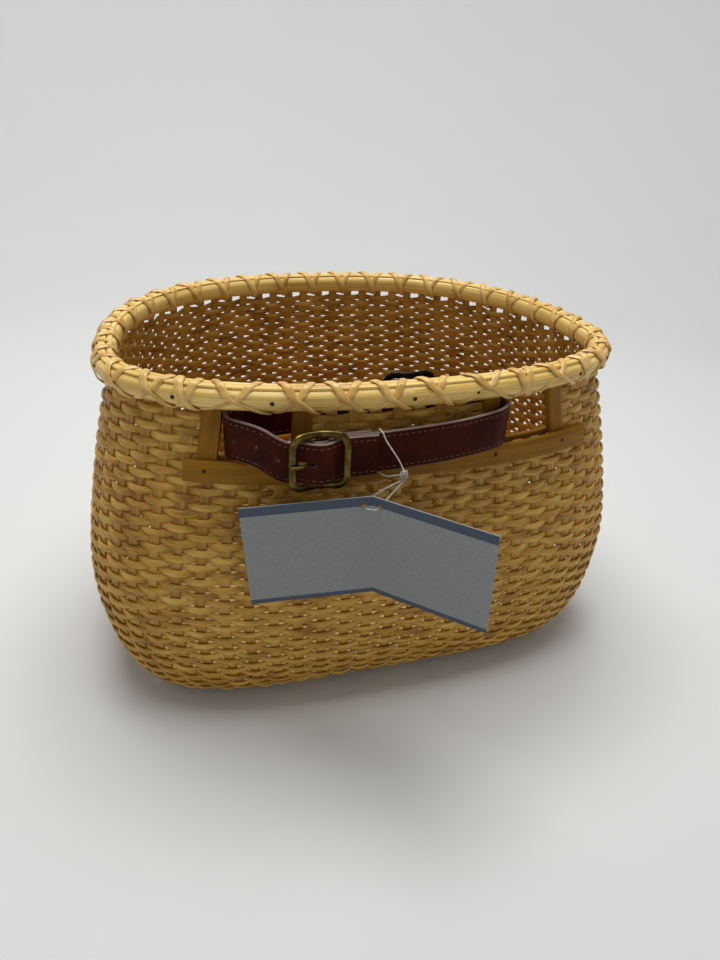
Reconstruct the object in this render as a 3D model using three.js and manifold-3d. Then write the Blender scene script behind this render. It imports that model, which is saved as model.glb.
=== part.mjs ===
// Woven cane bicycle basket with a loop of two buckled leather straps and a folded hang tag.
// Millimetres, +Z up. The origin lies on the underside of the base board, below the widest line of the rim.
// The handlebar side faces -Y and the basket's width runs along X.
import * as THREE from 'three';
import { mergeVertices } from 'three/addons/utils/BufferGeometryUtils.js';
import Module from 'manifold-3d';

const wasm = await Module();
wasm.setup();

// Clearances
const seatGap = 0.3; // between pieces that bear on each other
const weaveGap = 0.6; // staves to the weavers on either side
const railGap = 0.6; // rails to the woven wall
const barGap = 0.3; // leather or prong round a buckle's centre bar
const rockGap = 1.9; // billet under a buckle's side bars, so that the frame can rock

// Outline of the wall's middle surface at the base: half width, reach forward and back, squareness
const baseHalfWidth = 159;
const baseFront = 70;
const baseBack = 137;
const baseFrontPower = 4.4;
const baseBackPower = 3.2;

// The same outline at the belly
const bellyHalfWidth = 204;
const bellyFront = 109;
const bellyBack = 187;
const bellyFrontPower = 2.8;
const bellyBackPower = 2.5;
const bellyHeight = 95;

// The same outline at the rim
const rimHalfWidth = 178.5;
const rimFront = 93;
const rimBack = 175;
const rimFrontPower = 2.3;
const rimBackPower = 2.42;
const shoulderPower = 1.35; // how long the belly stays full on its way up to the rim

// Weave
const staveCount = 72;
const staveWidth = 7;
const staveThickness = 1.6;
const staveInset = 2; // stave ends below the top of the hoops
const weaverThickness = 1.4;
const tongueLength = 8; // stave foot inside the base groove
const bandWidth = 5; // part of that foot that runs all round and joins the staves

// Base board
const boardThickness = 10;
const boardChamfer = 1.2;

// Rim
const hoopBottom = 235.5;
const hoopHeight = 14;
const outerHoopDepth = 7.5;
const innerHoopDepth = 4.8;
const outerHoopRound = 3.2;
const innerHoopRound = 2.2;
const capThickness = 1.3;
const lashingWindow = 3.6; // open height below the hoops, above the weaving
const caneWidth = 5;
const caneThickness = 0.8;
const caneGap = 0.7; // first lashing pass over the hoops
const passGap = 0.3; // second lashing pass over the first

// Strap slots, their posts and rails
const slotCentre = -5; // X midway between the two slots
const slotInner = 69.5; // from there to a slot's near edge
const slotWidth = 41;
const postWidth = 12.5;
const postThickness = 5;
const postSocket = 12; // how far a post reaches down between the rails
const slotHeight = 31;
const railHeight = 13.5;
const railThickness = 3.5;
const railHalfLength = 133;

// Nails
const nailRadius = 0.7;
const nailHeadRadius = 1.7;
const nailHeadThickness = 0.6;
const nailSides = 6;

// Straps and buckles
const strapWidth = 27;
const strapThickness = 2.6;
const layerGap = 0.45; // between leather layers that lie on each other
const strapTopGap = 0.3; // under the lashing where a strap passes a slot
const bendGap = 3.2; // strap's right bend to its post
const restGap = 1.6; // strap's left bend to the post it rests near
const returnLength = 34; // turned-back end behind a buckle
const tailLength = 37; // billet past a buckle's centre bar
const barRadius = 1.5;
const frameReach = 16.5; // centre bar to the middle of a side bar
const frameBarWidth = 4.4;
const frameBarThickness = 3.2;
const frameCorner = 5;
const frameSideGap = 1.2; // strap edge to frame
const frameBow = 1.5; // how late the top and bottom bars rise from the centre bar to the side bars
const prongRadius = 1;
const prongEyeWall = 1.2;
const prongEyeWidth = 2.4;
const prongOverhang = 2; // tip past the side bar
const prongSlotGap = 0.5;
const prongSlotNear = 2.2; // from the centre bar to the near end of the billet's prong slot
const prongSlotFar = 4; // from the far end of that slot to the middle of the side bar
const frontBuckleX = -63;
const frontBuckleOut = 21.6; // centre bar in front of the wall's middle surface
const frontBuckleDrop = 6; // below the strap's height in the slots
const innerBuckleX = 14.5;
const innerBuckleIn = 37.5; // centre bar behind the wall's middle surface
const innerBuckleRise = 4; // above that height

// Tag
const tagWidth = 79;
const tagHeight = 79.5;
const tagThickness = 0.7;
const tagFoldGap = 0.5; // each leaf's edge to the crease line
const tagStrapShare = 0.17; // where the string hangs, from the turned-back strap end towards the middle
const tagFoldOffset = new THREE.Vector3(-9.5, -20, -18.8); // top of the crease from where the string hangs
const tagTurn = new THREE.Euler(0.109, -0.092, -0.467, 'YXZ');
const tagOpening = 0.313; // half of how far the leaves stand short of flat, in radians
const tagHoleIn = 5; // from the crease
const tagHoleDown = 7; // from the top edge
const tagHoleRadius = 1.2;
const beadOffset = new THREE.Vector3(12, -14, -10.5);
const beadRadius = 2.6;
const beadHalfLength = 3.6;
const stringDiameter = 0.9;
const stringSides = 8;
const stringGap = 0.7; // string to the strap it hangs on

// Values worked out from the sizes above
const wallHalf = staveThickness / 2 + weaveGap + weaverThickness;
const baseHeight = boardThickness / 2;
const hoopSeat = staveThickness / 2 + seatGap;
const hoopTop = hoopBottom + hoopHeight;
const capTop = hoopTop + seatGap + capThickness;
const weaveTop = hoopBottom - lashingWindow;
const staveTop = hoopTop - staveInset;
const firstPass = caneGap + caneThickness / 2;
const secondPass = firstPass + caneThickness + passGap;
const strapHeight = hoopBottom - secondPass - caneThickness / 2 - strapTopGap - strapWidth / 2;
const railTop = hoopBottom - slotHeight;
const railBottom = railTop - railHeight;
const slotOuter = slotInner + slotWidth;
const stationCount = Math.round(staveCount / 2);
const loopCount = Math.round(staveCount / 3);

// Outlines and the wall between them

function outline(halfWidth, front, back, frontPower, backPower) {
  return { halfWidth, front, back, frontPower, backPower };
}

const baseOutline = outline(baseHalfWidth, baseFront, baseBack, baseFrontPower, baseBackPower);
const bellyOutline = outline(bellyHalfWidth, bellyFront, bellyBack, bellyFrontPower, bellyBackPower);
const rimOutline = outline(rimHalfWidth, rimFront, rimBack, rimFrontPower, rimBackPower);

function mixOutlines(from, to, share) {
  const mixed = {};
  for (const key of Object.keys(from)) mixed[key] = THREE.MathUtils.lerp(from[key], to[key], share);
  return mixed;
}

// A level section of the wall: two superellipse halves that meet at the widest line, from the front centre
class LevelCurve extends THREE.Curve {
  constructor(level) {
    super();
    this.level = level;
    this.arcLengthDivisions = 720;
  }

  getPoint(t, target = new THREE.Vector3()) {
    const { halfWidth, front, back, frontPower, backPower } = this.level.outline;
    const sine = Math.sin(2 * Math.PI * t);
    const cosine = Math.cos(2 * Math.PI * t);
    const power = 2 / (cosine >= 0 ? frontPower : backPower);
    const reach = cosine >= 0 ? -front : back;
    const x = halfWidth * Math.sign(sine) * Math.abs(sine) ** power;
    return target.set(x, reach * Math.abs(cosine) ** power, this.level.z);
  }
}

// Climbing the wall: step 0 to 1 is the rounded foot, 1 to 2 the shoulder, and past 2 the upright rim
function levelAt(step) {
  if (step <= 1) {
    const turn = (step * Math.PI) / 2;
    const z = bellyHeight - (bellyHeight - baseHeight) * Math.cos(turn);
    return { z, outline: mixOutlines(baseOutline, bellyOutline, Math.sin(turn)) };
  }
  if (step <= 2) {
    const z = THREE.MathUtils.lerp(bellyHeight, weaveTop, step - 1);
    return { z, outline: mixOutlines(bellyOutline, rimOutline, (step - 1) ** shoulderPower) };
  }
  return { z: THREE.MathUtils.lerp(weaveTop, staveTop, step - 2), outline: rimOutline };
}

const stepAtHeight = (z) => 1 + (z - bellyHeight) / (weaveTop - bellyHeight);

// One row of the wall: stations at equal steps round the section, each with its outward normal
function wallRow(step) {
  const small = 0.002;
  const curve = new LevelCurve(levelAt(step));
  const below = new LevelCurve(levelAt(step - small));
  const above = new LevelCurve(levelAt(step + small));
  const points = [];
  const normals = [];
  for (let k = 0; k < stationCount; k += 1) {
    const share = (k + 0.5) / stationCount;
    const along = curve.getPointAt(share + small).sub(curve.getPointAt(share - small));
    const upright = new THREE.Vector3(0, 0, 1);
    const climb = step >= 2 ? upright : above.getPointAt(share).sub(below.getPointAt(share));
    points.push(curve.getPointAt(share));
    normals.push(along.cross(climb).normalize());
  }
  return { z: levelAt(step).z, points, normals };
}

const midShoulder = (bellyHeight + railTop) / 2;
const wallSteps = [0, 1 / 3, 2 / 3, 1, stepAtHeight(midShoulder), stepAtHeight(railTop), 2, 3];
const wallRows = wallSteps.map(wallRow);
const weaveRows = wallRows.slice(0, -1);
const baseRow = wallRows[0];
const rimRow = wallRows[wallRows.length - 1];

// A point on a row, a number of stations from the front centre line, at an offset along the normal
function rowSpot(row, station, offset) {
  const place = station - 0.5;
  const low = Math.floor(place);
  const corner = (index) => {
    const k = THREE.MathUtils.euclideanModulo(index, stationCount);
    return row.points[k].clone().addScaledVector(row.normals[k], offset);
  };
  return corner(low).lerp(corner(low + 1), place - low);
}

// A point on the faceted wall at a height
function wallSpot(station, z, offset) {
  const reached = wallRows.findIndex((row) => row.z >= z);
  const upper = reached < 0 ? wallRows.length - 1 : Math.max(1, reached);
  const [from, to] = [wallRows[upper - 1], wallRows[upper]];
  const share = (z - from.z) / (to.z - from.z);
  return rowSpot(from, station, offset).lerp(rowSpot(to, station, offset), share);
}

// A point in the rim's own section: offset outward from the rim's middle surface, and height
function rimSpot(station, offset, z) {
  return rowSpot(rimRow, station, offset).setZ(z);
}

// How many stations from the front centre line the wall reaches a given X
function stationAtX(x) {
  let low = 0;
  let high = stationCount / 4;
  for (let i = 0; i < 40; i += 1) {
    const middle = (low + high) / 2;
    if (wallSpot(middle, strapHeight, 0).x < Math.abs(x)) low = middle;
    else high = middle;
  }
  return Math.sign(x) * low;
}

// Y of the wall's middle surface on the handlebar side
function frontY(x) {
  const { halfWidth, front, frontPower } = levelAt(stepAtHeight(strapHeight)).outline;
  return -front * (1 - (Math.abs(x) / halfWidth) ** frontPower) ** (1 / frontPower);
}

// Solids

function buildGeometry(points, triangles) {
  const geometry = new THREE.BufferGeometry();
  const corners = triangles.flat().map((index) => points[index]);
  geometry.setFromPoints(corners);
  let volume = 0;
  for (let i = 0; i < corners.length; i += 3) {
    volume += corners[i].dot(corners[i + 1].clone().cross(corners[i + 2]));
  }
  const merged = mergeVertices(geometry);
  if (volume < 0) {
    const index = merged.getIndex().array;
    for (let i = 0; i < index.length; i += 3) [index[i], index[i + 1]] = [index[i + 1], index[i]];
  }
  return merged;
}

// Skin over a row of like polygons, capped at both ends unless the row closes on itself
function loft(sections, ring = false) {
  const size = sections[0].length;
  const triangles = [];
  const spans = ring ? sections.length : sections.length - 1;
  for (let i = 0; i < spans; i += 1) {
    const near = i * size;
    const far = ((i + 1) % sections.length) * size;
    for (let j = 0; j < size; j += 1) {
      const next = (j + 1) % size;
      triangles.push([near + j, near + next, far + next], [near + j, far + next, far + j]);
    }
  }
  const last = (sections.length - 1) * size;
  for (let j = 1; j < size - 1 && !ring; j += 1) {
    triangles.push([0, j + 1, j], [last, last + j, last + j + 1]);
  }
  return buildGeometry(sections.flat(), triangles);
}

function solidOf(geometry) {
  const bare = geometry.clone();
  bare.deleteAttribute('normal');
  bare.deleteAttribute('uv');
  const merged = mergeVertices(bare);
  const vertProperties = new Float32Array(merged.getAttribute('position').array);
  const triVerts = new Uint32Array(merged.getIndex().array);
  return new wasm.Manifold(new wasm.Mesh({ numProp: 3, vertProperties, triVerts }));
}

function geometryOf(solid) {
  const mesh = solid.getMesh();
  const geometry = new THREE.BufferGeometry();
  geometry.setAttribute('position', new THREE.BufferAttribute(mesh.vertProperties, 3));
  geometry.setIndex(new THREE.BufferAttribute(mesh.triVerts, 1));
  return geometry;
}

function cut(geometry, tools) {
  return geometryOf(tools.reduce((body, tool) => body.subtract(solidOf(tool)), solidOf(geometry)));
}

function keep(geometry, tool) {
  return geometryOf(solidOf(geometry).intersect(solidOf(tool)));
}

function join(first, second) {
  return geometryOf(solidOf(first).add(solidOf(second)));
}

const finishes = {
  cane: { color: 0xc79a55, roughness: 0.62, metalness: 0 },
  stave: { color: 0xb98a48, roughness: 0.66, metalness: 0 },
  rim: { color: 0xd2aa69, roughness: 0.5, metalness: 0 },
  board: { color: 0xb9915a, roughness: 0.7, metalness: 0 },
  leather: { color: 0x4a2419, roughness: 0.5, metalness: 0 },
  brass: { color: 0x8a7445, roughness: 0.38, metalness: 1 },
  nail: { color: 0x3a2c20, roughness: 0.5, metalness: 0.8 },
  card: { color: 0xc9ccd0, roughness: 0.6, metalness: 0 },
  string: { color: 0xe8e6e0, roughness: 0.45, metalness: 0 },
  bead: { color: 0xf2f2f0, roughness: 0.15, metalness: 0 },
};

const basket = new THREE.Group();

function addPiece(name, geometry, finish, holder = basket) {
  const mesh = new THREE.Mesh(geometry, new THREE.MeshStandardMaterial(finishes[finish]));
  mesh.name = name;
  holder.add(mesh);
}

// Two stations and the wall's facet corners between them
function stationsBetween(from, to) {
  const stations = [from];
  for (let s = Math.ceil(from - 0.5) + 0.5; s < to; s += 1) stations.push(s);
  return [...stations, to];
}

// A point on the faceted wall, kept level however the wall leans
const levelSpot = (station, z, offset) => wallSpot(station, z, offset).setZ(z);

// Wide upright slat that follows the wall; each level has a height and a thickness
function slat(x, width, levels) {
  const middle = stationAtX(x);
  const stationsPerMm = 1 / rowSpot(rimRow, middle + 0.5, 0).distanceTo(rowSpot(rimRow, middle - 0.5, 0));
  const half = (width / 2) * stationsPerMm;
  const stations = stationsBetween(middle - half, middle + half);
  return loft(levels.map(({ z, thickness }) => [
    ...stations.map((station) => levelSpot(station, z, thickness / 2)),
    ...stations.toReversed().map((station) => levelSpot(station, z, -thickness / 2)),
  ]));
}

// Headed nail driven inward from a place on an outer face
function nail(length) {
  const profile = [
    new THREE.Vector2(0, -length),
    new THREE.Vector2(nailRadius, -length),
    new THREE.Vector2(nailRadius, seatGap),
    new THREE.Vector2(nailHeadRadius, seatGap),
    new THREE.Vector2(nailHeadRadius, seatGap + nailHeadThickness),
    new THREE.Vector2(0, seatGap + nailHeadThickness),
  ];
  return new THREE.LatheGeometry(profile, nailSides);
}

function drill(length) {
  return new THREE.CylinderGeometry(nailRadius + seatGap, nailRadius + seatGap, 2 * length, nailSides);
}

// Turns a nail or drill so that its +Y axis points outward at a place
function driven(geometry, place, outward) {
  const turn = new THREE.Quaternion().setFromUnitVectors(new THREE.Vector3(0, 1, 0), outward);
  return geometry.clone().applyQuaternion(turn).translate(place.x, place.y, place.z);
}

// Base board with a groove in its edge for the feet of the staves

const levelOutward = baseRow.points.map((point, k) => {
  const ahead = baseRow.points[(k + 1) % stationCount];
  const behind = baseRow.points[(k + stationCount - 1) % stationCount];
  return ahead.clone().sub(behind).cross(new THREE.Vector3(0, 0, 1)).normalize();
});

function boardOutline(inset, z) {
  return baseRow.points.map((point, k) => point.clone().addScaledVector(levelOutward[k], -inset).setZ(z));
}

function baseBoard() {
  const edge = 2 * seatGap;
  const deep = tongueLength + 3 * seatGap;
  const low = baseHeight - staveThickness / 2 - seatGap;
  const high = baseHeight + staveThickness / 2 + seatGap;
  return loft([
    boardOutline(edge + boardChamfer, 0),
    boardOutline(edge, boardChamfer),
    boardOutline(edge, low),
    boardOutline(deep, low),
    boardOutline(deep, high),
    boardOutline(edge, high),
    boardOutline(edge, boardThickness - boardChamfer),
    boardOutline(edge + boardChamfer, boardThickness),
  ]);
}

// Slots: posts, and the room cut for them in the wall

const innerPost = slotInner - postWidth / 2;
const outerPost = slotOuter + postWidth / 2;
const sides = [{ name: 'left', sign: -1 }, { name: 'right', sign: 1 }].map(({ name, sign }) => ({
  name,
  innerPostX: slotCentre + sign * innerPost,
  outerPostX: slotCentre + sign * outerPost,
}));
const postFoot = railTop - postSocket;

function post(x) {
  const shoulder = hoopBottom - seatGap;
  return slat(x, postWidth, [
    { z: postFoot, thickness: postThickness },
    { z: weaveTop, thickness: postThickness },
    { z: shoulder, thickness: postThickness },
    { z: shoulder, thickness: staveThickness },
    { z: staveTop, thickness: staveThickness },
  ]);
}

function postRoom(x) {
  const deep = 4 * wallHalf;
  return slat(x, postWidth + 2 * seatGap, [
    { z: postFoot - seatGap, thickness: deep },
    { z: weaveTop, thickness: deep },
    { z: staveTop, thickness: deep },
    { z: staveTop + railHeight, thickness: deep },
  ]);
}

function slotRoom(fromX, toX) {
  const height = hoopTop - railTop + railHeight;
  const room = new THREE.BoxGeometry(Math.abs(toX - fromX), rimFront, height);
  return room.translate((fromX + toX) / 2, -rimFront, railTop + height / 2);
}

const wallCuts = sides.flatMap(({ innerPostX, outerPostX }) => [
  postRoom(innerPostX),
  postRoom(outerPostX),
  slotRoom(innerPostX, outerPostX),
]);

// Woven wall: weavers outside and inside, with the staves between them

function weaveSkin(from, to) {
  const sections = [];
  for (let k = 0; k < stationCount; k += 1) {
    const face = (offset) => weaveRows.map((row) => rowSpot(row, k + 0.5, offset));
    sections.push([...face(from), ...face(to).reverse()]);
  }
  return cut(loft(sections, true), wallCuts);
}

// Beside the slots the rows are separate lengths: one between the inner posts and one round the rest
const wallBox = new THREE.BoxGeometry(4 * bellyHalfWidth, 4 * bellyBack, hoopTop);
const aboveSill = wallBox.clone().translate(0, 0, railTop + hoopTop / 2);
const belowSill = wallBox.clone().translate(0, 0, railTop + seatGap - hoopTop / 2);
const middleRoom = new THREE.BoxGeometry(2 * innerPost, rimFront, hoopTop);
middleRoom.translate(slotCentre, -rimFront, hoopTop);

// Staves stand two to a facet; a band in the base groove joins their feet
function staveCage() {
  const footRow = (inset) => ({
    points: boardOutline(inset, baseHeight),
    normals: baseRow.normals,
  });
  const rows = [footRow(tongueLength), footRow(tongueLength - bandWidth), ...wallRows];
  const points = [];
  for (const row of rows) {
    for (let k = 0; k < stationCount; k += 1) {
      const length = row.points[k].distanceTo(row.points[(k + 1) % stationCount]);
      const half = staveWidth / 2 / length;
      for (const share of [0.25 - half, 0.25 + half, 0.75 - half, 0.75 + half]) {
        points.push(rowSpot(row, k + 0.5 + share, staveThickness / 2));
        points.push(rowSpot(row, k + 0.5 + share, -staveThickness / 2));
      }
    }
  }
  const columns = 4 * stationCount;
  const at = (row, column, inside) => 2 * (row * columns + (column % columns)) + inside;
  const filled = (row, column) => row >= 0 && row < rows.length - 1 && (row === 0 || column % 2 === 0);
  const triangles = [];
  const quad = (a, b, c, d) => triangles.push([a, b, c], [a, c, d]);
  for (let row = 0; row < rows.length - 1; row += 1) {
    for (let column = 0; column < columns; column += 1) {
      if (!filled(row, column)) continue;
      const next = column + 1;
      quad(at(row, column, 0), at(row, next, 0), at(row + 1, next, 0), at(row + 1, column, 0));
      quad(at(row, column, 1), at(row + 1, column, 1), at(row + 1, next, 1), at(row, next, 1));
      if (!filled(row - 1, column)) {
        quad(at(row, column, 0), at(row, column, 1), at(row, next, 1), at(row, next, 0));
      }
      if (!filled(row + 1, column)) {
        quad(at(row + 1, next, 0), at(row + 1, next, 1), at(row + 1, column, 1), at(row + 1, column, 0));
      }
      if (row > 0) {
        quad(at(row, column, 0), at(row + 1, column, 0), at(row + 1, column, 1), at(row, column, 1));
        quad(at(row, next, 0), at(row, next, 1), at(row + 1, next, 1), at(row + 1, next, 0));
      }
    }
  }
  return cut(buildGeometry(points, triangles), wallCuts);
}

// Rails that clamp the wall under the slots

const railNailHeight = railTop - postSocket / 2;
const postPlaces = sides.flatMap(({ name, innerPostX, outerPostX }) => [
  { name: `${name}_inner`, x: innerPostX },
  { name: `${name}_outer`, x: outerPostX },
]);

function rail(seat, face) {
  const end = stationAtX(railHalfLength);
  return loft(stationsBetween(-end, end).map((station) => [
    levelSpot(station, railBottom, seat),
    levelSpot(station, railTop, seat),
    levelSpot(station, railTop, face),
    levelSpot(station, railBottom, face),
  ]));
}

const railSeat = wallHalf + railGap;
const railFace = railSeat + railThickness;

function railNailAxis({ x }) {
  const station = stationAtX(x);
  const place = wallSpot(station, railNailHeight, railFace);
  const outward = place.clone().sub(wallSpot(station, railNailHeight, 0)).normalize();
  return { place, outward };
}

const railNailLength = 2 * railSeat + 1.5 * railThickness;
const railDrills = postPlaces.map((place) => {
  const axis = railNailAxis(place);
  return driven(drill(2 * railNailLength), axis.place, axis.outward);
});

// Rim: two hoops, the strip over their seam, and two lashing passes

const hoopFace = hoopSeat + outerHoopDepth;
const hoopBack = hoopSeat + innerHoopDepth;

function rimRing(section) {
  const sections = [];
  for (let k = 0; k < stationCount; k += 1) {
    sections.push(section.map(([offset, z]) => rimSpot(k + 0.5, offset, z)));
  }
  return loft(sections, true);
}

function hoopSection(side, seat, face, round) {
  return [
    [side * seat, hoopBottom],
    [side * (face - round), hoopBottom],
    [side * face, hoopBottom + round],
    [side * face, hoopTop - round],
    [side * (face - round), hoopTop],
    [side * seat, hoopTop],
  ];
}

const capSection = [
  [innerHoopRound - hoopBack, hoopTop + seatGap],
  [hoopFace - outerHoopRound, hoopTop + seatGap],
  [hoopFace - outerHoopRound, capTop],
  [innerHoopRound - hoopBack, capTop],
];

// Outline that a lashing turn follows, from below the outer hoop over the top to below the inner hoop
const lashingOutline = [
  [hoopFace - outerHoopRound, hoopBottom],
  [hoopFace, hoopBottom + outerHoopRound],
  [hoopFace, hoopTop - outerHoopRound],
  [hoopFace - outerHoopRound, capTop],
  [innerHoopRound - hoopBack, capTop],
  [-hoopBack, hoopTop - innerHoopRound],
  [-hoopBack, hoopBottom + innerHoopRound],
  [innerHoopRound - hoopBack, hoopBottom],
].map(([offset, z]) => new THREE.Vector2(offset, z));

// The outline moved outward by a distance, with its corners mitred
function spreadOutline(points, distance) {
  return points.map((point, i) => {
    const before = points[(i + points.length - 1) % points.length];
    const after = points[(i + 1) % points.length];
    const into = point.clone().sub(before).normalize();
    const away = after.clone().sub(point).normalize();
    const normals = [new THREE.Vector2(into.y, -into.x), new THREE.Vector2(away.y, -away.x)];
    const middle = normals[0].clone().add(normals[1]).normalize();
    return point.clone().addScaledVector(middle, distance / middle.dot(normals[0]));
  });
}

// Where a lashing turn passes under the rim: between two staves, and one gap further where a post stands
const stationLength = rimRow.points[0].distanceTo(rimRow.points[1]);
function turnStation(turn) {
  const station = (turn * stationCount) / loopCount;
  const fromFront = station - stationCount * Math.round(station / stationCount);
  const room = (postWidth / 2 + seatGap + caneWidth / 2) / stationLength;
  const blocked = postPlaces.some(({ x }) => Math.abs(fromFront - stationAtX(x)) < room);
  return blocked ? station + (Math.sign(fromFront) * stationCount) / staveCount : station;
}

// One unbroken cane wound round the rim; hand +1 climbs towards +X at the front, -1 the other way
function lashing(name, hand, lift) {
  const under = spreadOutline(lashingOutline, lift - caneThickness / 2);
  const over = spreadOutline(lashingOutline, lift + caneThickness / 2);
  const half = caneWidth / 2 / stationLength;
  const sections = [];
  const middles = [];
  for (let loop = 0; loop < loopCount; loop += 1) {
    const from = turnStation(hand * loop);
    const to = turnStation(hand * (loop + 1));
    lashingOutline.forEach((point, i) => {
      const station = THREE.MathUtils.lerp(from, to, i / (lashingOutline.length - 1));
      sections.push([
        rimSpot(station - half, under[i].x, under[i].y),
        rimSpot(station + half, under[i].x, under[i].y),
        rimSpot(station + half, over[i].x, over[i].y),
        rimSpot(station - half, over[i].x, over[i].y),
      ]);
      middles.push(rimSpot(station, (under[i].x + over[i].x) / 2, (under[i].y + over[i].y) / 2));
    });
  }
  const perLoop = lashingOutline.length;
  let least = Infinity;
  middles.forEach((point, i) => {
    for (let j = i + perLoop; j < middles.length; j += 1) {
      least = Math.min(least, point.distanceTo(middles[j]));
    }
  });
  console.log(`${name}: least gap to itself ${(least - caneWidth).toFixed(2)} mm`);
  return loft(sections);
}

// Two lashing turns of every three have a nail between their canes
const nailHeight = (hoopBottom + hoopTop) / 2;
const nailStations = [];
for (let loop = 0; loop < loopCount; loop += 1) {
  if (loop % 3 !== 2) nailStations.push(turnStation(loop));
}

function rimNailAxis(station) {
  const place = rimSpot(station, hoopFace, nailHeight);
  const outward = place.clone().sub(rimSpot(station, -hoopBack, nailHeight)).normalize();
  return { place, outward };
}

const rimNailLength = hoopFace + hoopBack - innerHoopDepth / 3;
const rimDrills = nailStations.map((station) => {
  const axis = rimNailAxis(station);
  return driven(drill(rimNailLength), axis.place, axis.outward);
});

// Buckles: both have the same parts; the inner one is turned half round about Z

const buckles = {
  front: new THREE.Group(),
  inner: new THREE.Group(),
};
buckles.front.position.set(
  frontBuckleX,
  frontY(frontBuckleX) - frontBuckleOut,
  strapHeight - frontBuckleDrop,
);
buckles.inner.position.set(
  innerBuckleX,
  frontY(innerBuckleX) + innerBuckleIn,
  strapHeight + innerBuckleRise,
);
buckles.inner.rotation.z = Math.PI;
for (const buckle of Object.values(buckles)) {
  buckle.updateMatrixWorld();
  basket.add(buckle);
}

const foldRadius = barRadius + barGap + strapThickness / 2;
const sideBarOut = strapThickness / 2 + rockGap + frameBarThickness / 2;
const crownOut = foldRadius + strapThickness + 2 * seatGap;
const frameHalfHeight = strapWidth / 2 + frameSideGap + frameBarWidth / 2;

// Rounded frame whose top and bottom bars dip back to the centre bar
function buckleFrame() {
  const cornerTurns = 3;
  const railSpans = 4;
  const path = [];
  const corners = [[1, 1], [-1, 1], [-1, -1], [1, -1]];
  corners.forEach(([u, z], corner) => {
    const middle = new THREE.Vector2(u * (frameReach - frameCorner), z * (frameHalfHeight - frameCorner));
    for (let i = 0; i <= cornerTurns; i += 1) {
      const angle = (corner + i / cornerTurns) * (Math.PI / 2);
      const outward = new THREE.Vector2(Math.cos(angle), Math.sin(angle));
      path.push({ place: middle.clone().addScaledVector(outward, frameCorner), outward });
    }
    if (corner % 2 === 1) return;
    for (let i = 1; i < railSpans; i += 1) {
      const place = new THREE.Vector2(-u * (frameReach - frameCorner) * ((2 * i) / railSpans - 1),
        z * frameHalfHeight);
      path.push({ place, outward: new THREE.Vector2(0, z) });
    }
  });
  const sections = path.map(({ place, outward }) => {
    const dip = sideBarOut * (Math.abs(place.x) / frameReach) ** frameBow;
    const corner = (side, depth) => {
      const spot = place.clone().addScaledVector(outward, (side * frameBarWidth) / 2);
      return new THREE.Vector3(spot.x, -dip - (depth * frameBarThickness) / 2, spot.y);
    };
    return [corner(-1, -1), corner(1, -1), corner(1, 1), corner(-1, 1)];
  });
  const bar = new THREE.CylinderGeometry(barRadius, barRadius, 2 * frameHalfHeight, 12);
  return join(loft(sections, true), bar.rotateX(Math.PI / 2));
}

// Prong: an eye round the centre bar, a rod that climbs through the billet, and a tip flat on the side bar
const prongRest = sideBarOut + frameBarThickness / 2 + barGap + prongRadius;
const prongKnee = new THREE.Vector2(frameBarWidth / 2 + prongRadius - frameReach, prongRest);
const prongTip = new THREE.Vector2(-frameReach - prongOverhang, prongRest);

function prong() {
  const eye = new THREE.Shape().absarc(0, 0, barRadius + barGap + prongEyeWall, 0, 2 * Math.PI);
  eye.holes.push(new THREE.Path().absarc(0, 0, barRadius + barGap, 0, 2 * Math.PI, true));
  const eyeShape = { depth: prongEyeWidth, bevelEnabled: false, curveSegments: 7 };
  const ring = new THREE.ExtrudeGeometry(eye, eyeShape).translate(0, 0, -prongEyeWidth / 2);
  const root = prongKnee.clone().setLength(barRadius + barGap + prongEyeWall / 2);
  const rodSection = (middle, direction) => Array.from({ length: 8 }, (unused, i) => {
    const angle = (i * Math.PI) / 4;
    const side = new THREE.Vector2(-direction.y, direction.x).setLength(prongRadius * Math.cos(angle));
    return new THREE.Vector3(middle.x + side.x, -middle.y - side.y, prongRadius * Math.sin(angle));
  });
  const climb = prongKnee.clone().normalize();
  const level = new THREE.Vector2(-1, 0);
  const rod = loft([
    rodSection(root, climb),
    rodSection(prongKnee, climb.clone().add(level)),
    rodSection(prongTip, level),
  ]);
  return join(ring, rod);
}

// Straps: each turns round the centre bar of one buckle and ends as the billet of the other

const rightBendX = slotCentre + slotInner + bendGap + strapThickness / 2;
const leftBendX = slotCentre - slotOuter + restGap + strapThickness / 2;

// Routes past the bends: X, distance in front of the wall's middle surface, height above the slots' middle
const rightBend = [
  [0, 16.2, -4.2],
  [28, 15, -2.8],
  [48, 13.8, -1],
  [rightBendX - 9.8, 11.6, -0.2],
  [rightBendX - 1.8, 5.4, 0],
  [rightBendX, -3, 0],
  [rightBendX - 1.2, -11, 0],
  [rightBendX - 5, -18, 0],
  [rightBendX - 11, -26, 0.4],
  [rightBendX - 19, -32.2, 1.5],
  [rightBendX - 28, -36.3, 3],
];
const leftBend = [
  [-52, -32.2, 3],
  [-72, -27.8, 1.5],
  [leftBendX + 16.5, -22.8, 0.4],
  [leftBendX + 6.7, -15.4, 0],
  [leftBendX + 1.2, -6.4, 0],
  [leftBendX, 0.5, 0],
  [leftBendX + 2.2, 6, 0],
  [leftBendX + 8.5, 10.5, 0],
  [leftBendX + 17, 16.2, -0.8],
  [leftBendX + 25, 21.8, -4.2],
];

function bendRoute(points) {
  return points.map(([x, out, rise]) => new THREE.Vector3(x, frontY(x) - out, strapHeight + rise));
}

// Places on a buckle: distance along the strap from the centre bar, and distance outward from it
const buckleRoute = (buckle, points) => points.map(([along, out]) => buckle.localToWorld(
  new THREE.Vector3(along, -out, 0),
));

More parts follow.
